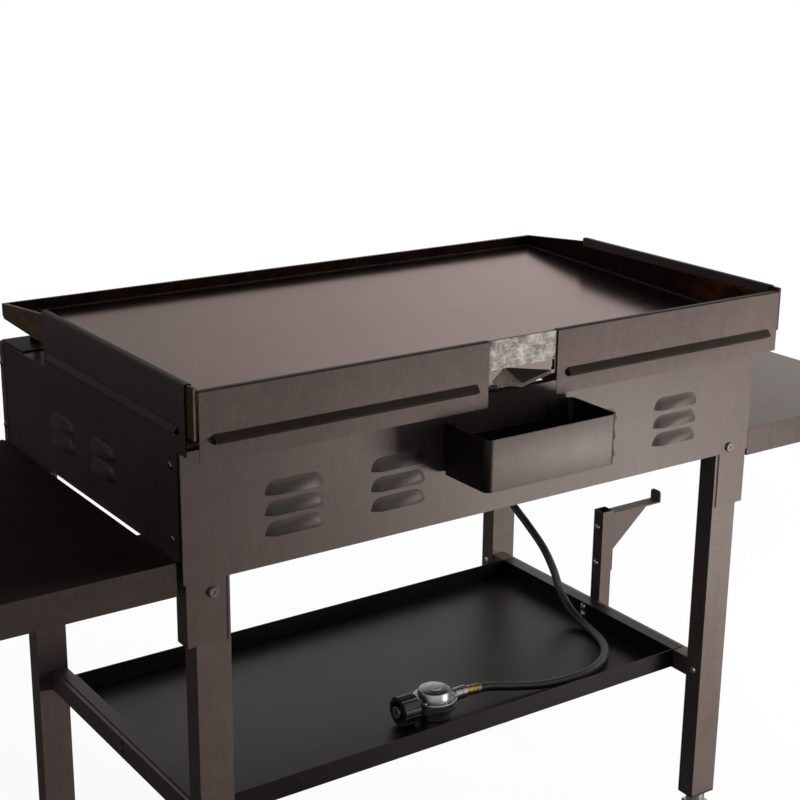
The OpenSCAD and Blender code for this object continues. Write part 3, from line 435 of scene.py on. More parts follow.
coatGrey, shelfGrey, shadowBlack = tint(100, 88, 85), tint(98, 88, 84), tint(9, 8, 8)
looks = {
    "coat": coatLook("warmCoat", coatGrey),
    "legCoat": coatLook("legCoat", tint(107, 95, 91), seam=tint(12, 10, 9)),
    "panelCoat": coatLook("panelCoat", coatGrey, 0.44, top=tint(50, 46, 45)),
    "rearCoat": coatLook("rearCoat", tint(103, 91, 87), 0.44, gleam=0.28, louvreShade=tint(64, 61, 60)),
    "guardCoat": coatLook("guardCoat", tint(118, 104, 100), gleam=0.12, top=tint(22, 18, 17)),
    "guardSide": coatLook("guardSide", tint(92, 81, 78), gleam=0.08, end=(coatMarks["guardEnd"], shadowBlack),
                          top=tint(44, 40, 39)),
    "sideCoat": coatLook("sideCoat", tint(112, 100, 97), 0.34, gleam=0.12,
                         end=(coatMarks["sideEnd"], shadowBlack), top=tint(34, 30, 29)),
    "shelfCoat": coatLook("shelfCoat", shelfGrey, 0.36, 0.6, 0.13),
    # the same shelf coat without shine for the right shelf: a shaded copy that keeps it dark, painted shade
    "shelfMatt": coatLook("shelfMatt", shelfGrey, 0.36, 0.6, 0.0),
    "cupCoat": coatLook("cupCoat", tint(117, 106, 101), 0.40, 0.5, 0.2, edge=tint(26, 23, 22),
                        inside=tint(5, 4, 4)),
    "stripCoat": coatLook("stripCoat", tint(58, 51, 48), 0.48, 0.6, 0.04),
    "blackCoat": coatLook("blackCoat", tint(24, 22, 22), 0.38, 0.5, 0.25),
    "darkCoat": coatLook("darkCoat", tint(52, 46, 43), gleam=0.04),
    "plate": plateLook(), "wall": wallLook(), "rearWall": rearWallLook(),
    "spout": bareLook("workedSteel", (0.270, 0.222, 0.175), (0.080, 0.064, 0.046), 0.05, 0.55, 0.06,
                      lee=(0.052, 0.040, 0.028)),
    "tube": bareLook("heatedTube", (0.36, 0.33, 0.30), (0.17, 0.13, 0.10), 0.75, 0.38),
    "zinc": zincLook("zincPlate", (0.42, 0.42, 0.41), 0.34),
    "bright": zincLook("brightBolt", (0.58, 0.57, 0.55), 0.28),
    "cutEdge": zincLook("cutEdge", (0.34, 0.32, 0.30), 0.4, 0.4),
    "dullBolt": zincLook("dullBolt", (0.20, 0.18, 0.175), 0.55, 0.25),
    "darkScrew": zincLook("darkScrew", (0.07, 0.068, 0.066), 0.3),
    "brass": brassLook(), "ceramic": ceramicLook(), "weld": weldLook(),
    "black": plasticLook("blackMoulding", (0.016, 0.015, 0.015)),
    "red": plasticLook("redMoulding", (0.16, 0.012, 0.009)),
    "mark": plasticLook("paleMark", (0.62, 0.60, 0.57)),
    "grey": plasticLook("greyHub", (0.11, 0.11, 0.11)),
    "tyre": rubberLook("solidTyre", (0.017, 0.017, 0.017)),
    "hose": rubberLook("hoseRubber", (0.034, 0.033, 0.032), 0.45),
}
print("materials made:", len(looks))

corners = ["front_left", "front_right", "rear_left", "rear_right"]
forks, wheels = ["fork_" + c for c in corners], ["wheel_" + c for c in corners]
knobs = ["knob_%d" % n for n in range(1, 5)]

# which finish each model node wears
wears = {
    "plate": ["griddle_plate"],
    "wall": ["front_lip", "side_walls", "plate_stiffeners"],
    "rearWall": ["rear_wall", "drain_bridge"],
    "spout": ["drain_spout"],
    "tube": ["burners"],
    "bright": ["panel_screws", "frame_bolts", "knob_bezels"],
    "panelCoat": ["front_panel"],
    "rearCoat": ["rear_panel"],
    "sideCoat": ["left_side_panel", "right_side_panel"],
    "guardCoat": ["guard_rear_left", "guard_rear_right"],
    "guardSide": ["guard_left", "guard_right"],
    "stripCoat": ["strip_left", "strip_right", "strip_rear_left", "strip_rear_right"],
    "coat": ["side_rails", "tank_post", "tank_hook"],
    "legCoat": ["legs"],
    "shelfCoat": ["left_side_shelf"],
    "shelfMatt": ["right_side_shelf"],
    "cupCoat": ["grease_cup", "cup_bracket"],
    "blackCoat": ["bottom_shelf"],
    "darkCoat": ["corner_brackets", "shelf_brackets", "levelling_feet", "burner_rails"],
    "zinc": ["gas_manifold", "regulator"] + forks,
    "brass": ["gas_valves", "inlet_elbow"],
    "ceramic": ["spark_electrodes"],
    "black": knobs + ["igniter_body", "caster_sockets", "tank_nut"],
    "red": ["brake_left", "brake_right", "igniter_button"],
    "tyre": wheels,
    "hose": ["gas_hose"],
}
for finish, nodes in wears.items():
    for name in nodes:
        obj = frame["nodes"][name]
        obj.data.materials.clear()
        obj.data.materials.append(looks[finish])


# one finished piece: its looks, the body it rides on and the model nodes that it stands for
def newPiece(name, mesh, finishes, body, nodes=(), smooth=40):
    for f in finishes:
        mesh.materials.append(looks[f])
    if smooth:
        mesh.shade_smooth()
        mesh.set_sharp_from_angle(angle=math.radians(smooth))
    obj = bpy.data.objects.new(name, mesh)
    scene.collection.objects.link(obj)
    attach(obj, body)
    if nodes:
        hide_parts(*nodes)
    return obj


# turned piece: rings of (along, radius) about an axis, closed by its poles or back on its first ring
def lathe(name, rings, put, steps, shape=None, looped=False):
    bm = bmesh.new()
    loops = []
    for a, r in rings:
        if r == 0:
            loops.append([bm.verts.new(put(a, 0, 0))])
            continue
        ring = []
        for n in range(steps):
            angle = n / steps * math.tau
            k = r * (shape(a, angle) if shape else 1)
            ring.append(bm.verts.new(put(a, k * math.cos(angle), k * math.sin(angle))))
        loops.append(ring)
    pairs = list(zip(loops, loops[1:])) + ([(loops[-1], loops[0])] if looped else [])
    for p, q in pairs:
        for n in range(steps):
            m = (n + 1) % steps
            face = [p[n % len(p)], p[m % len(p)], q[m % len(q)], q[n % len(q)]]
            bm.faces.new(list(dict.fromkeys(face)))
    bmesh.ops.recalc_face_normals(bm, faces=bm.faces)
    mesh = bpy.data.meshes.new(name)
    bm.to_mesh(mesh)
    bm.free()
    return mesh


# one mesh of several, each with its own material index
def joined(name, meshes, marks=None):
    bm = bmesh.new()
    for i, mesh in enumerate(meshes):
        had = len(bm.faces)
        bm.from_mesh(mesh)
        bm.faces.ensure_lookup_table()
        for f in bm.faces[had:]:
            f.material_index = marks[i] if marks else 0
    mesh = bpy.data.meshes.new(name)
    bm.to_mesh(mesh)
    bm.free()
    return mesh


# gas hose: from the elbow under the cabinet, down to the tray and along its floor to the regulator
hose = {
    "radius": 0.0065, "length": 0.89, "steps": 8, "rings": 4, "sleeve": 0.0078, "sleeveLength": 0.026,
    "sleeveAim": 5, "grooves": 3, "groovePitch": 0.006, "grooveHalf": 0.0016,
    "route": [(-372, -267, 676), (-372, -267, 634), (-372, -267, 590), (-372, -258, 539), (-372, -232, 494),
              (-372, -192, 460), (-372, -146, 434), (-372, -104, 407.5), (-372, -76, 378), (-372, -57, 348),
              (-372, -31, 326), (-371, 4, 313.4), (-364, 44, 310.6), (-346, 84, 310.2), (-314, 116, 310.2),
              (-272, 134, 310.2), (-226, 138, 310.2), (-180, 132, 311.2), (-136, 120, 316), (-95, 111, 323),
              (-55, 108, 326)],
}


# a smooth line through points that are given in millimetres
def smoothRoute(points, steps):
    pts = [Vector(p) / 1000 for p in points]
    out = []
    for i in range(len(pts) - 1):
        a, b, c, d = pts[max(i - 1, 0)], pts[i], pts[i + 1], pts[min(i + 2, len(pts) - 1)]
        for n in range(steps):
            t = n / steps
            out.append(0.5 * (2 * b + (c - a) * t + (2 * a - 5 * b + 4 * c - d) * t * t
                              + (3 * b - a - 3 * c + d) * t ** 3))
    return out + [pts[-1]]


def makeHose(h):
    line = smoothRoute(h["route"], h["steps"])
    curve = bpy.data.curves.new("gasHose", "CURVE")
    curve.dimensions = "3D"
    curve.bevel_depth, curve.bevel_resolution = h["radius"], h["rings"]
    curve.use_fill_caps = True
    spline = curve.splines.new("POLY")
    spline.points.add(len(line) - 1)
    for p, v in zip(spline.points, line):
        p.co = (*v, 1)
    spline.use_smooth = True
    curve.materials.append(looks["hose"])
    obj = bpy.data.objects.new("gasHose", curve)
    scene.collection.objects.link(obj)
    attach(obj, "base")
    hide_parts("gas_hose")
    print("hose length", round(sum((b - a).length for a, b in zip(line, line[1:])), 4))
    return obj, line


# crimped sleeves on the hose's two ends
def makeSleeves(h, line):
    r, long, half, n = h["sleeve"], h["sleeveLength"], h["grooveHalf"], h["sleeveAim"]
    rings = [(0, 0), (0, r * 0.93), (0.0012, r)]
    for a in [(i + 1) * h["groovePitch"] for i in range(h["grooves"])]:
        rings += [(a - half, r), (a - half / 2, r * 0.92), (a + half / 2, r * 0.92), (a + half, r)]
    rings += [(long - 0.002, r), (long, r * 0.9), (long, 0)]
    meshes = []
    for end, inner in ((line[0], line[n]), (line[-1], line[-1 - n])):
        d = (inner - end).normalized()
        u = d.orthogonal().normalized()
        v = d.cross(u)
        meshes.append(lathe("sleeve", rings, lambda a, y, z: end + d * a + u * y + v * z, 32))
    return newPiece("hoseSleeves", joined("hoseSleeves", meshes), ["brass"], "base")


# regulator lying on the tray: turned bell, hose boss with a hexagon, inlet spigot, ring of cover screws
regulator = {
    "centre": (0.0, 0.108), "floor": 0.3034, "axisZ": 0.326, "hoseEnd": -0.055,
    "bell": [(0, 0), (0, 0.0222), (0.0014, 0.024), (0.0118, 0.024), (0.0132, 0.0247), (0.0146, 0.0290),
             (0.0149, 0.0322), (0.0158, 0.033), (0.0214, 0.033), (0.0220, 0.0318), (0.0232, 0.0318),
             (0.0238, 0.033), (0.0294, 0.033), (0.0303, 0.0322), (0.0306, 0.0270), (0.0322, 0.0252),
             (0.0384, 0.0240), (0.0420, 0.0224), (0.0436, 0.0190), (0.0438, 0.0112), (0.0440, 0.0105),
             (0.0450, 0.0100), (0.0452, 0.0085), (0.0452, 0)],
    "boss": [(0, 0), (0, 0.0083), (0.001, 0.0095), (0.008, 0.0095), (0.009, 0.0085), (0.010, 0.0085),
             (0.011, 0.0095), (0.021, 0.0095), (0.0215, 0.0083), (0.035, 0.0083), (0.035, 0)],
    "hexagon": [(0.0115, 0), (0.0115, 0.0082), (0.0125, 0.0095), (0.0195, 0.0095), (0.0205, 0.0082),
                (0.0205, 0)],
    "spigot": [(0.024, 0), (0.024, 0.0085), (0.029, 0.0085), (0.030, 0.007), (0.065, 0.007), (0.065, 0.0088),
               (0.0655, 0.009), (0.0666, 0.009), (0.067, 0.0085), (0.067, 0.0030), (0.061, 0.0026),
               (0.061, 0)],
    "screws": 6, "screwRing": 0.0296, "screwUp": 0.0304, "screwTurn": 0.5,
    "screwRadius": 0.0025, "screwHead": 0.0018,
}


def makeRegulator(g):
    x0, y0 = g["centre"]
    upright = lambda a, u, v: (x0 + u, y0 + v, g["floor"] + a)
    along = lambda a, u, v: (x0 + a, y0 + u, g["axisZ"] + v)
    fromHose = lambda a, u, v: along(g["hoseEnd"] + a, u, v)
    meshes = [lathe("bell", g["bell"], upright, 64), lathe("boss", g["boss"], fromHose, 32),
              lathe("hexagon", g["hexagon"], fromHose, 6), lathe("spigot", g["spigot"], along, 40)]
    return newPiece("gasRegulator", joined("regulator", meshes), ["zinc"], "base", ["regulator"], 32)


hoseObj, hoseLine = makeHose(hose)
hoseEnds = [makeSleeves(hose, hoseLine), makeRegulator(regulator), frame["nodes"]["tank_nut"]]
tuple(hoseLine[0])

# lamps: place, width, power and target; only the key shows in the shine
lamps = {
    "keyLamp": ((-1.15, 1.5, 0.12), 0.6, 30, (-0.1, 0.25, 0.75)),  # low behind the left end
    "topLamp": ((-2.0, 0.4, 1.25), 0.9, 38, (-0.64, -0.03, 0.69)),  # over the left shelf
    "fillLamp": ((1.5, 2.6, 1.5), 1.6, 0.2, (0, 0.1, 0.75)),  # faint, from the camera's side
    "frontLamp": ((-0.5, -2.3, 0.85), 1.6, 34, (0, -0.3, 0.7)),  # the user's side
    "sideLamp": ((1.0, -1.05, 0.78), 0.3, 0.7, (0.46, -0.1, 0.76)),  # grazes the right side panel
}
studio = {
    "lampColor": (1, 0.97, 0.94), "ambient": 0.02, "floor": 4.0, "floorSides": 64, "shade": 0.06,
    "pale": (0.92, 0.92, 0.92, 1), "dull": (0.16, 0.155, 0.15, 1),  # floor as seen, and as a light
    "fade": (1.2, 2.4), "dullFade": (3.2, 3.9),
}
# dark card on the user's side, only in reflections: a thin veil above its split, dense below on the right
flag = {
    "low": (-1.3, -0.95, 0.15), "high": (1.25, -0.95, 1.6), "split": (0.8, 0.9),
    "color": (0.004, 0.004, 0.004, 1), "veilIn": (-1.2, 0.15), "veilOut": (0.35, 0.8), "veil": 0.5,
    "denseIn": (0.18, 0.22),
}


def makeLamps(specs, color):
    for name, (place, width, power, target) in specs.items():
        data = bpy.data.lights.new(name, "AREA")
        data.size, data.energy, data.color = width, power, color
        obj = bpy.data.objects.new(name, data)
        obj.location = place
        obj.rotation_euler = (Vector(target) - Vector(place)).to_track_quat("-Z", "Y").to_euler()
        obj.visible_camera = False
        obj.visible_glossy = name == "keyLamp"
        scene.collection.objects.link(obj)


# 1 for rays of these kinds
def rays(k, first, *others):
    light = k.node("ShaderNodeLightPath", {}, {}, "Is %s Ray" % first)
    for kind in others:
        light = light.top(k.node("ShaderNodeLightPath", {}, {}, "Is %s Ray" % kind))
    return light


# white where it is seen, nearly dark as a light
def makeWorld(s):
    scene.world = bpy.data.worlds.new("studio")
    scene.world.use_nodes = True
    k = Nodes(scene.world.node_tree)
    k.tree.nodes.clear()
    level = s["ambient"] + rays(k, "Camera", "Glossy", "Transmission") * (1 - s["ambient"])
    back = k.node("ShaderNodeBackground", {}, {"Color": (1, 1, 1, 1), "Strength": level})
    k.tree.links.new(back.socket, k.tree.nodes.new("ShaderNodeOutputWorld").inputs[0])


def stagePiece(name, points, look, shader):
    look.tree.links.new(shader.socket, look.out.inputs[0])
    mesh = bpy.data.meshes.new(name)
    mesh.from_pydata(points, [], [list(range(len(points)))])
    mesh.materials.append(look.mat)
    obj = bpy.data.objects.new(name, mesh)
    scene.collection.objects.link(obj)
    return obj


# pale floor that fades into the white background
def makeFloor(s):
    k = Look("studioFloor")
    view = rays(k, "Camera", "Transmission")
    radius = k.node("ShaderNodeVectorMath", {"operation": "LENGTH"}, {0: k.place}, "Value")
    white = k.node("ShaderNodeEmission", {}, {"Color": (1, 1, 1, 1), "Strength": 1.0})
    soft = k.node("ShaderNodeBsdfDiffuse", {}, {"Color": s["pale"]})
    dull = k.node("ShaderNodeBsdfDiffuse", {}, {"Color": s["dull"]})
    pale = k.node("ShaderNodeMixShader", {}, {0: s["shade"], 1: white, 2: soft})
    lit = k.node("ShaderNodeMixShader", {}, {0: view, 1: dull, 2: pale})
    clear = k.node("ShaderNodeBsdfTransparent", {}, {})
    fade = view * radius.ease(*s["fade"]) + (1 - view) * radius.ease(*s["dullFade"])
    edge = k.node("ShaderNodeMixShader", {}, {0: fade, 1: lit, 2: clear})
    angles = [n / s["floorSides"] * math.tau for n in range(s["floorSides"])]
    return stagePiece("floor", [(s["floor"] * math.cos(a), s["floor"] * math.sin(a), 0) for a in angles],
                      k, edge)


def makeFlag(f):
    k = Look("flagCloth")
    x, above = k.axis("X"), k.axis("Z").ease(*f["split"])
    veil = x.ease(*f["veilIn"]) * (1 - x.ease(*f["veilOut"])) * above * f["veil"]
    dense = veil.top(x.ease(*f["denseIn"]) * (1 - above))
    black = k.node("ShaderNodeBsdfDiffuse", {}, {"Color": f["color"]})
    clear = k.node("ShaderNodeBsdfTransparent", {}, {})
    cloth = k.node("ShaderNodeMixShader", {}, {0: dense, 1: clear, 2: black})
    (x0, y0, z0), (x1, y1, z1) = f["low"], f["high"]
    card = stagePiece("flag", [(x0, y0, z0), (x1, y1, z0), (x1, y1, z1), (x0, y0, z1)], k, cloth)
    card.visible_camera = card.visible_shadow = False
    return card


makeLamps(lamps, studio["lampColor"])
makeWorld(studio)
makeFloor(studio)
makeFlag(flag)
print("studio ready")


# folded sheet: a flat strip's midline with rounded bends, thickened and run along a length
def roundedPath(points, radius, steps=4):
    out = [Vector(points[0])]
    for a, b, c in zip(points, points[1:], points[2:]):
        a, b, c = Vector(a), Vector(b), Vector(c)
        u, v = (a - b).normalized(), (c - b).normalized()
        half = u.angle(v) / 2
        reach = radius / math.tan(half)
        centre = b + (u + v).normalized() * radius / math.sin(half)
        p, q = b + u * reach - centre, b + v * reach - centre
        turn = p.angle(q)
        for n in range(steps + 1):
            t = n / steps
            out.append(centre + (p * math.sin((1 - t) * turn) + q * math.sin(t * turn)) / math.sin(turn))
    return out + [Vector(points[-1])]


def foldedSheet(name, points, radius, thick, ends, put, capMark=0):
    line = roundedPath(points, radius)
    sides = []
    for i, p in enumerate(line):
        d = (line[min(i + 1, len(line) - 1)] - line[max(i - 1, 0)]).normalized()
        n = Vector((-d.y, d.x)) * thick / 2
        sides.append((p + n, p - n))
    verts, faces = [], []
    count = len(line)
    for w in ends:
        for a, b in sides:
            verts += [put(a.x, a.y, w), put(b.x, b.y, w)]
    k = 2 * count
    for i in range(count - 1):
        j = 2 * i
        faces += [(j, j + 2, k + j + 2, k + j), (j + 1, k + j + 1, k + j + 3, j + 3),
                  (j, j + 1, j + 3, j + 2), (k + j, k + j + 2, k + j + 3, k + j + 1)]
    faces += [(0, k, k + 1, 1), (k - 2, k - 1, 2 * k - 1, 2 * k - 2)]
    mesh = bpy.data.meshes.new(name)
    mesh.from_pydata(verts, [], faces)
    bm = bmesh.new()
    bm.from_mesh(mesh)
    bmesh.ops.recalc_face_normals(bm, faces=bm.faces)
    bm.to_mesh(mesh)
    bm.free()
    for i in range(count - 1):
        mesh.polygons[4 * i + 2].material_index = mesh.polygons[4 * i + 3].material_index = capMark
    return mesh


# wind guards hooked over the walls, with their stiffening strips
guard = {
    "thick": 0.0012, "height": 0.0855, "lip": 0.013, "room": 0.001, "bend": 0.0016, "length": 0.401,
    "gap": 0.110, "setIn": 0.016, "stripWidth": 0.0126, "stripOut": 0.0078, "stripUp": 0.027,
    "stripMargin": 0.018, "stripBend": 0.0009, "stripSink": 0.0005, "ridgeLow": 0.002,
}


def makeGuards(g):
    t, wall = g["thick"], size["wallT"]
    out, lip = g["room"] + t / 2, -(wall + g["room"] + t / 2)
    section = [(out, t - g["height"]), (out, t / 2), (lip, t / 2), (lip, t - g["lip"])]
    face = g["room"] + t
    z = t - g["height"] + g["stripUp"]
    half = (g["stripWidth"] - t) / 2
    ridge = (face + g["stripOut"] - g["stripBend"], z - g["ridgeLow"])
    angle = [(face + g["stripSink"], z + half), ridge, (face + g["stripSink"], z - half)]
    mid = g["gap"] / 2 + g["length"] / 2
    midY = size["plateY1"] - g["setIn"] - g["length"] / 2
    places = {
        "rear_left": lambda a, b, w: (w - mid, size["plateY1"] + a, size["rearWallZ"] + b),
        "rear_right": lambda a, b, w: (w + mid, size["plateY1"] + a, size["rearWallZ"] + b),
        "left": lambda a, b, w: (-size["plateW"] / 2 - a, midY + w, size["sideWallZ"] + b),
        "right": lambda a, b, w: (size["plateW"] / 2 + a, midY + w, size["sideWallZ"] + b),
    }
    for name, put in places.items():
        ends = (-g["length"] / 2, g["length"] / 2)
        short = (ends[0] + g["stripMargin"], ends[1] - g["stripMargin"])
        body, coat = name + "_guard", "guardCoat" if "rear" in name else "guardSide"
        mesh = foldedSheet("guard_" + name, section, g["bend"], t, ends, put)
        newPiece("windGuard_" + name, mesh, [coat], body, ["guard_" + name])
        mesh = foldedSheet("strip_" + name, angle, g["stripBend"], t, short, put, 1)
        newPiece("guardStrip_" + name, mesh, ["stripCoat", "cutEdge"], body,
                 ["strip_" + name], 25)


makeGuards(guard)
print("guards folded")

# pressed and cut edges of the model nodes, eased so that they catch the light: width and slot for each finish
eased = {
    "coat": (0.0009, "coat"), "legCoat": (0.0009, "coat"),
    "panelCoat": (0.0005, "coat"), "rearCoat": (0.0005, "coat"),
    "sideCoat": (0.0005, "dark_coat"), "shelfCoat": (0.0016, "dark_coat"), "shelfMatt": (0.0016, "dark_coat"),
    "cupCoat": (0.0005, "dark_coat"), "blackCoat": (0.0006, "black_coat"), "wall": (0.0007, "rusty_steel"),
    "rearWall": (0.0007, "rusty_steel"), "zinc": (0.0006, "zinc"), "darkCoat": (0.0005, "zinc"),
    "red": (0.0008, "red_plastic"), "black": (0.0008, "black_plastic"), "brass": (0.0005, "brass"),
}
leftPlain = {"plate_stiffeners", "drain_bridge", "levelling_feet", "burner_rails", "gas_manifold",
             "regulator", "tank_nut", *knobs}
# angles in degrees: coplanar below flat, a turned face in the curve's range, an edge to ease past sharp
easing = {"merge": 0.00002, "flat": 0.6, "curve": (0.8, 16), "sharp": 38, "segments": 2, "profile": 0.6}


def mergedCopy(node):
    bm = bmesh.new()
    bm.from_mesh(frame["nodes"][node].data)
    bmesh.ops.remove_doubles(bm, verts=bm.verts, dist=easing["merge"])
    return bm


# flat faces stay flat, bevels and turned faces shade smooth
def easeEdges(node, width, s):
    bm = mergedCopy(node)
    bmesh.ops.dissolve_limit(bm, angle_limit=math.radians(s["flat"]), verts=bm.verts, edges=bm.edges)
    curved = bm.faces.layers.int.new("curved")
    bend = lambda e: math.degrees(e.calc_face_angle(0)) if e.is_manifold else 90
    least, most = s["curve"]
    for f in bm.faces:
        f[curved] = any(least < bend(e) < most for e in f.edges)
    sharp = [e for e in bm.edges if bend(e) > s["sharp"] and e.is_manifold]
    bevel = bmesh.ops.bevel(bm, geom=sharp, offset=width, segments=s["segments"], profile=s["profile"],
                            affect="EDGES", clamp_overlap=True)
    for f in bevel["faces"]:
        f[curved] = 2
    bmesh.ops.triangulate(bm, faces=[f for f in bm.faces if len(f.verts) > 4])
    for f in bm.faces:
        f.smooth = f[curved] > 0
    for e in bm.edges:
        e.smooth = not (bend(e) > most and all(f[curved] < 2 for f in e.link_faces))
    mesh = bpy.data.meshes.new(node)
    bm.to_mesh(mesh)
    bm.free()
    return mesh


for finish, (width, slotName) in eased.items():
    for node in wears[finish]:
        if node not in leftPlain:
            first, *words = node.split("_")
            name = first + "".join(w.capitalize() for w in words)
            body = frame["nodes"][node]["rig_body"]
            newPiece(name, easeEdges(node, width, easing), [finish], body, [node], None)
print("edges eased")


# bolt and screw places, read from the model's own solids: head base, outward aim, head radius, stud end
def fastenerSpots(node, headHeight, near=0.0001):
    bm = mergedCopy(node)
    spots, found = [], set()
    for v in bm.verts:
        if v in found:
            continue
        group, todo = [], [v]
        found.add(v)
        while todo:
            w = todo.pop()
            group.append(w.co.copy())
            for o in [e.other_vert(w) for e in w.link_edges]:
                if o not in found:
                    found.add(o)
                    todo.append(o)
        low = Vector([min(c[i] for c in group) for i in range(3)])
        high = Vector([max(c[i] for c in group) for i in range(3)])
        span, mid = high - low, (low + high) / 2
        axis = min(range(3), key=lambda i: abs(span[(i + 1) % 3] - span[(i + 2) % 3]))
        aim = Vector([float(i == axis) for i in range(3)])

        def reach(level):
            ring = [c - mid for c in group if abs(c[axis] - level) < near]
            return max(((c - aim * c[axis]).length for c in ring), default=0)
        up, down = reach(high[axis]), reach(low[axis])
        headEnd, studEnd = (high, low) if up > down else (low, high)
        if up < down:
            aim = -aim
        base, stud = mid.copy(), mid.copy()
        base[axis], stud[axis] = headEnd[axis], studEnd[axis]
        spots.append((base - aim * headHeight, aim, max(up, down), stud))
    bm.free()
    return spots


def pointMesh(name, spots):
    mesh = bpy.data.meshes.new(name)
    mesh.from_pydata([p for p, d in spots], [], [])
    aim = mesh.attributes.new("aim", "FLOAT_VECTOR", "POINT")
    aim.data.foreach_set("vector", [c for p, d in spots for c in d])
    return mesh


# one fastener on each point: a crowned head with a cross recess, or a nut with its stud
def fastenerTree():
    g = Grower("fasteners", {"Radius": 0.005, "Height": 0.0035, "Sides": 24, "Crown": 0.4, "Cross": True,
                             "Stud": 0.0, "Seed": 3})
    r, h, stud = g.give("Radius"), g.give("Height"), g.give("Stud")
    drum = g.node("GeometryNodeMeshCylinder", {},
                  {"Vertices": g.give("Sides"), "Side Segments": 5, "Radius": r, "Depth": h})
    x, y, z = [g.split(g.place, i) for i in range(3)]
    t = z / h + 0.5
    k = 1 - g.give("Crown") * t * t * t
    crowned = g.vector(x * k, y * k, z + h * 0.5)
    head = g.node("GeometryNodeSetPosition", {}, {"Geometry": drum, "Position": crowned})
    slots, lift = [], g.vector(0.0, 0.0, h * 1.08)
    for a, b in ((1.0, 0.22), (0.22, 1.0)):
        bar = g.node("GeometryNodeMeshCube", {}, {"Size": g.vector(r * a, r * b, h)})
        slots.append(g.node("GeometryNodeTransform", {}, {"Geometry": bar, "Translation": lift}))
    cut = g.node("GeometryNodeMeshBoolean", {"operation": "DIFFERENCE", "solver": "EXACT"},
                 {"Mesh 1": head, "Mesh 2": slots})
    head = g.node("GeometryNodeSwitch", {"input_type": "GEOMETRY"},
                  {"Switch": g.give("Cross"), "False": head, "True": cut})
    end = g.node("GeometryNodeMeshCylinder", {}, {"Vertices": 20, "Radius": r * 0.55, "Depth": stud})
    end = g.node("GeometryNodeTransform", {},
                 {"Geometry": end, "Translation": g.vector(0.0, 0.0, h + stud * 0.48)})
    both = g.node("GeometryNodeJoinGeometry", {}, {"Geometry": [head, end]})
    whole = g.node("GeometryNodeSwitch", {"input_type": "GEOMETRY"},
                   {"Switch": stud.calc("GREATER_THAN", stud, 0.0001), "False": head, "True": both})
    aim = g.node("GeometryNodeInputNamedAttribute", {"data_type": "FLOAT_VECTOR"}, {"Name": "aim"})
    turn = g.node("FunctionNodeAlignRotationToVector", {"axis": "Z"}, {"Vector": aim})
    spin = g.node("FunctionNodeRandomValue", {}, {2: 0.0, 3: 6.283, "Seed": g.give("Seed")}, 1)
    spin = g.node("FunctionNodeEulerToRotation", {}, {0: g.vector(0.0, 0.0, spin)})
    turn = g.node("FunctionNodeRotateRotation", {"rotation_space": "LOCAL"},
                  {"Rotation": turn, "Rotate By": spin})
    return g.close(g.node("GeometryNodeInstanceOnPoints", {},
                          {"Points": g.give("Geometry"), "Instance": whole, "Rotation": turn}))


fasteners = {
    "boltHead": 0.0035, "legBolt": 0.0069, "frameBolt": 0.00525, "legOver": 0.006,  # leg bolts are over this
    "screwHead": 0.002, "screw": 0.0047, "nutHeight": 0.005, "nut": 0.0054, "nutBack": 0.007,
    "studOut": 0.002,
}


def makeFasteners(f, g):
    tree = fastenerTree()

    def place(name, spots, finish, nodes=(), smooth=32, **values):
        mesh = tree.grow(name, pointMesh(name, spots), finish, **values)
        newPiece(name, mesh, [], "base", nodes, smooth)
    bolts = fastenerSpots("frame_bolts", f["boltHead"])
    legs = [(p, d) for p, d, r, s in bolts if r > f["legOver"]]
    rest = [(p, d) for p, d, r, s in bolts if r <= f["legOver"]]
    nuts = [(s + d * f["nutBack"], -d) for p, d, r, s in bolts]
    place("legBolts", legs, "dullBolt", ["frame_bolts"], 28, Radius=f["legBolt"], Height=f["boltHead"],
          Crown=0.16)
    place("frameBolts", rest, "bright", smooth=35, Radius=f["frameBolt"], Height=f["boltHead"], Crown=0.45)
    place("frameNuts", nuts, "zinc", smooth=28, Radius=f["nut"], Height=f["nutHeight"], Sides=6, Crown=0.06,
          Cross=False, Stud=f["studOut"])
    screws = [(p, d) for p, d, r, s in fastenerSpots("panel_screws", f["screwHead"])]
    place("panelScrews", screws, "darkScrew", ["panel_screws"], Radius=f["screw"], Height=f["screwHead"],
          Crown=0.3)
    (x0, y0), ring, z = g["centre"], g["screwRing"], g["floor"] + g["screwUp"]
    angles = [n / g["screws"] * math.tau + g["screwTurn"] for n in range(g["screws"])]
    rim = [(Vector((x0 + ring * math.cos(a), y0 + ring * math.sin(a), z)), Vector((0, 0, 1))) for a in angles]
    place("regulatorScrews", rim, "zinc", Radius=g["screwRadius"], Height=g["screwHead"], Crown=0.3)
    print("fasteners placed:", len(bolts), "bolts,", len(screws), "screws")


makeFasteners(fasteners, regulator)

# weld beads in the corners of the walled plate
welds = {"radius": 0.0019, "pitch": 0.0034, "belowWall": 0.003, "belowLip": 0.009}


def beadTree():
    g = Grower("weldBeads", {"Radius": 0.002, "Pitch": 0.003})
    pitch = g.give("Pitch")
    line = g.node("GeometryNodeMeshToCurve", {}, {"Mesh": g.give("Geometry")})
    line = g.node("GeometryNodeResampleCurve", {"mode": "LENGTH"}, {"Curve": line, "Length": pitch / 5})
    along = g.node("GeometryNodeSplineParameter", {}, {}, "Length")
    lump = g.noise(160.0, 2.0) - 0.5
    swell = 1 + (along * math.tau / pitch).wave() * 0.12 + lump * 0.7
    ring = g.node("GeometryNodeCurvePrimitiveCircle", {}, {"Resolution": 8, "Radius": 1.0})
    return g.close(g.node("GeometryNodeCurveToMesh", {},
                          {"Curve": line, "Profile Curve": ring, "Scale": g.give("Radius") * swell,
                           "Fill Caps": True}))


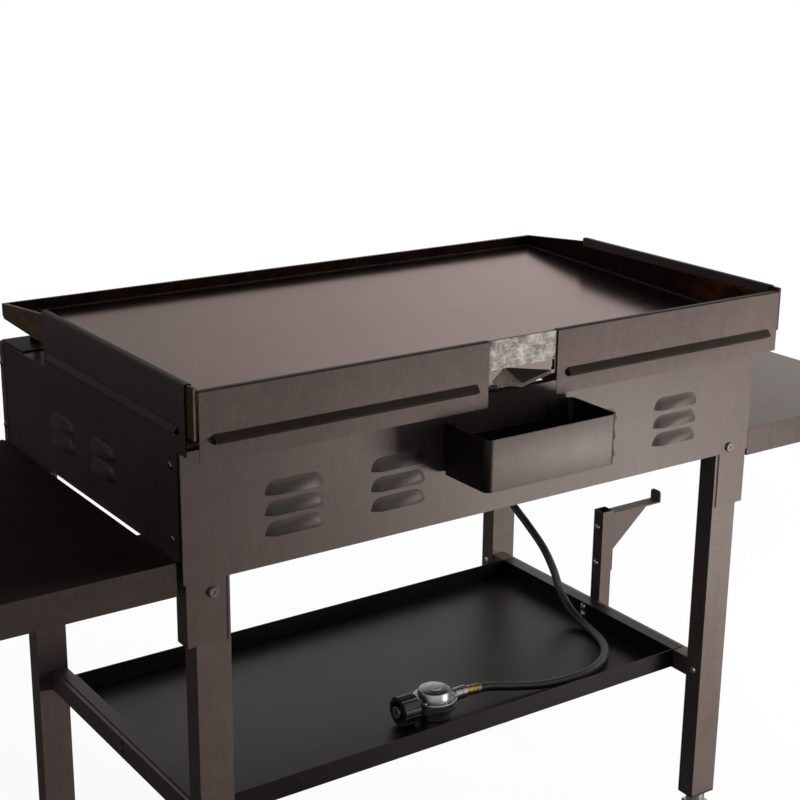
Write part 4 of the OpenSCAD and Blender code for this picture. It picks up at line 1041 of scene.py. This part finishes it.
def makeWelds(w):
    slope = size["fall"] / (size["plateY1"] - size["plateY0"])
    top = lambda y: size["plateZ"] + (size["plateY1"] - y) * slope + size["plateT"]
    x, n = size["plateW"] / 2 - size["wallT"], size["notchW"] / 2
    y0, y1 = size["plateY0"] + size["wallT"], size["plateY1"] - size["wallT"]
    z0, z1 = top(y0), top(y1)
    runs = [((-x, y0, z0), (x, y0, z0))]
    for s in (-1, 1):
        runs += [((s * x, y0, z0), (s * x, y1, z1)), ((s * n, y1, z1), (s * x, y1, z1)),
                 ((s * x, y1, z1), (s * x, y1, size["rearWallZ"] - w["belowWall"])),
                 ((s * x, y0, z0), (s * x, y0, z0 + size["lipH"] - w["belowLip"]))]
    mesh = bpy.data.meshes.new("weldRuns")
    mesh.from_pydata([p for run in runs for p in run], [(2 * i, 2 * i + 1) for i in range(len(runs))], [])
    mesh = beadTree().grow("weldBeads", mesh, "weld", Radius=w["radius"], Pitch=w["pitch"])
    newPiece("weldBeads", mesh, [], "griddle", smooth=60)


makeWelds(welds)
print("welds run")

# control knobs: skirt, fluted grip and a pointer bar with a pale line
knob = {
    "flutes": 16, "deep": 0.045, "fluted": (0.0084, 0.0216), "steps": 128,
    "rings": [(0, 0), (0, 0.0222), (0.0007, 0.023), (0.0046, 0.023), (0.0058, 0.0222), (0.0063, 0.0200),
              (0.0072, 0.0178), (0.0085, 0.0170), (0.0215, 0.0165), (0.0230, 0.0157), (0.0238, 0.0142),
              (0.0240, 0.0125), (0.0240, 0)],
    "bar": (0.009, 0.023, 0.030), "barFrom": 0.0056, "barRound": 0.0016,
    "line": (0.0016, 0.010), "lineDown": 0.0025, "lineProud": 0.0003, "lineSunk": 0.001, "lineRound": 0.0002,
}


def roundedBox(name, low, high, radius, segments=3):
    bm = bmesh.new()
    bmesh.ops.create_cube(bm, size=1.0)
    low, high = Vector(low), Vector(high)
    for v in bm.verts:
        v.co = Vector([low[i] + (v.co[i] + 0.5) * (high[i] - low[i]) for i in range(3)])
    bmesh.ops.bevel(bm, geom=bm.edges[:], offset=radius, segments=segments, profile=0.5, affect="EDGES")
    mesh = bpy.data.meshes.new(name)
    bm.to_mesh(mesh)
    bm.free()
    return mesh


def makeKnobs(k):
    start, stop = k["fluted"]
    flute = lambda a, angle: (1 - k["deep"] * max(0, math.cos(k["flutes"] * angle)) ** 2
                              if start < a < stop else 1)
    w, d, h = k["bar"]
    lineW, lineH = k["line"]
    for node in knobs:
        low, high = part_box(node)
        x, y, z = (low[0] + high[0]) / 2, high[1], (low[2] + high[2]) / 2
        body = lathe("body", k["rings"], lambda a, u, v: (x + u, y - a, z + v), k["steps"], flute)
        back = y - k["barFrom"]
        front, top = back - d, z + h / 2 - k["lineDown"]
        bar = roundedBox("bar", (x - w / 2, front, z - h / 2), (x + w / 2, back, z + h / 2), k["barRound"])
        line = roundedBox("line", (x - lineW / 2, front - k["lineProud"], top - lineH),
                          (x + lineW / 2, front + k["lineSunk"], top), k["lineRound"], 1)
        mesh = joined("knob", [body, bar, line], [0, 0, 1])
        name = node.replace("knob_", "controlKnob")
        newPiece(name, mesh, ["black", "mark"], node, [node], 30)


makeKnobs(knob)
print("knobs turned")

# caster wheels: solid tyre with two grooves, ribbed hub; half profiles of (along, radius)
wheel = {
    "ribs": 8, "ribInner": 0.0112, "ribOuter": 0.0258, "ribThick": 0.0018, "ribHalf": 0.0090,
    "tyre": [(0.0096, 0.0272), (0.0108, 0.0280), (0.0110, 0.0292), (0.0110, 0.0330), (0.0104, 0.0352),
             (0.0088, 0.0368), (0.0066, 0.0374), (0.0044, 0.0375), (0.0040, 0.0366), (0.0030, 0.0366),
             (0.0026, 0.0375)],
    "hub": [(0.0098, 0.0042), (0.0108, 0.0050), (0.0108, 0.0098), (0.0100, 0.0112), (0.0072, 0.0122),
            (0.0066, 0.0136), (0.0066, 0.0244), (0.0074, 0.0256), (0.0096, 0.0262), (0.0098, 0.0276)],
}


# ribs around a hub: boxes on a circle, both sides
def ribTree():
    g = Grower("hubRibs", {"Count": 8, "Inner": 0.011, "Outer": 0.026, "Thick": 0.002, "Half": 0.009})
    a, b = g.give("Inner"), g.give("Outer")
    box = g.node("GeometryNodeMeshCube", {}, {"Size": g.vector(b - a, g.give("Thick"), g.give("Half") * 2)})
    ring = g.node("GeometryNodeMeshCircle", {}, {"Vertices": g.give("Count"), "Radius": (a + b) * 0.5})
    turn = g.node("FunctionNodeAlignRotationToVector", {"axis": "X", "pivot_axis": "Z"}, {"Vector": g.place})
    return g.close(g.node("GeometryNodeInstanceOnPoints", {},
                          {"Points": ring, "Instance": box, "Rotation": turn}))


def makeWheels(w):
    tyre, hub = [[(-a, r) for a, r in w[half]] + [(a, r) for a, r in reversed(w[half])]
                 for half in ("tyre", "hub")]
    ribs = ribTree().grow("ribs", bpy.data.meshes.new("ribs"), "grey", Count=w["ribs"], Inner=w["ribInner"],
                          Outer=w["ribOuter"], Thick=w["ribThick"], Half=w["ribHalf"])
    ribs.transform(Matrix.Rotation(math.pi / 2, 4, "Y"))
    for corner, node in zip(corners, wheels):
        low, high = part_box(node)
        c = [(a + b) / 2 for a, b in zip(low, high)]
        put = lambda a, u, v: (c[0] + a, c[1] + u, c[2] + v)
        spokes = ribs.copy()
        spokes.transform(Matrix.Translation(c))
        turned = [lathe("tyre", tyre, put, 64, looped=True), lathe("hub", hub, put, 48, looped=True)]
        mesh = joined("wheel", turned + [spokes], [0, 1, 1])
        mesh.materials.clear()
        newPiece("casterWheel_" + corner, mesh, ["tyre", "grey"], corner + "_wheel",
                 [node], 32)


makeWheels(wheel)
print("wheels made")
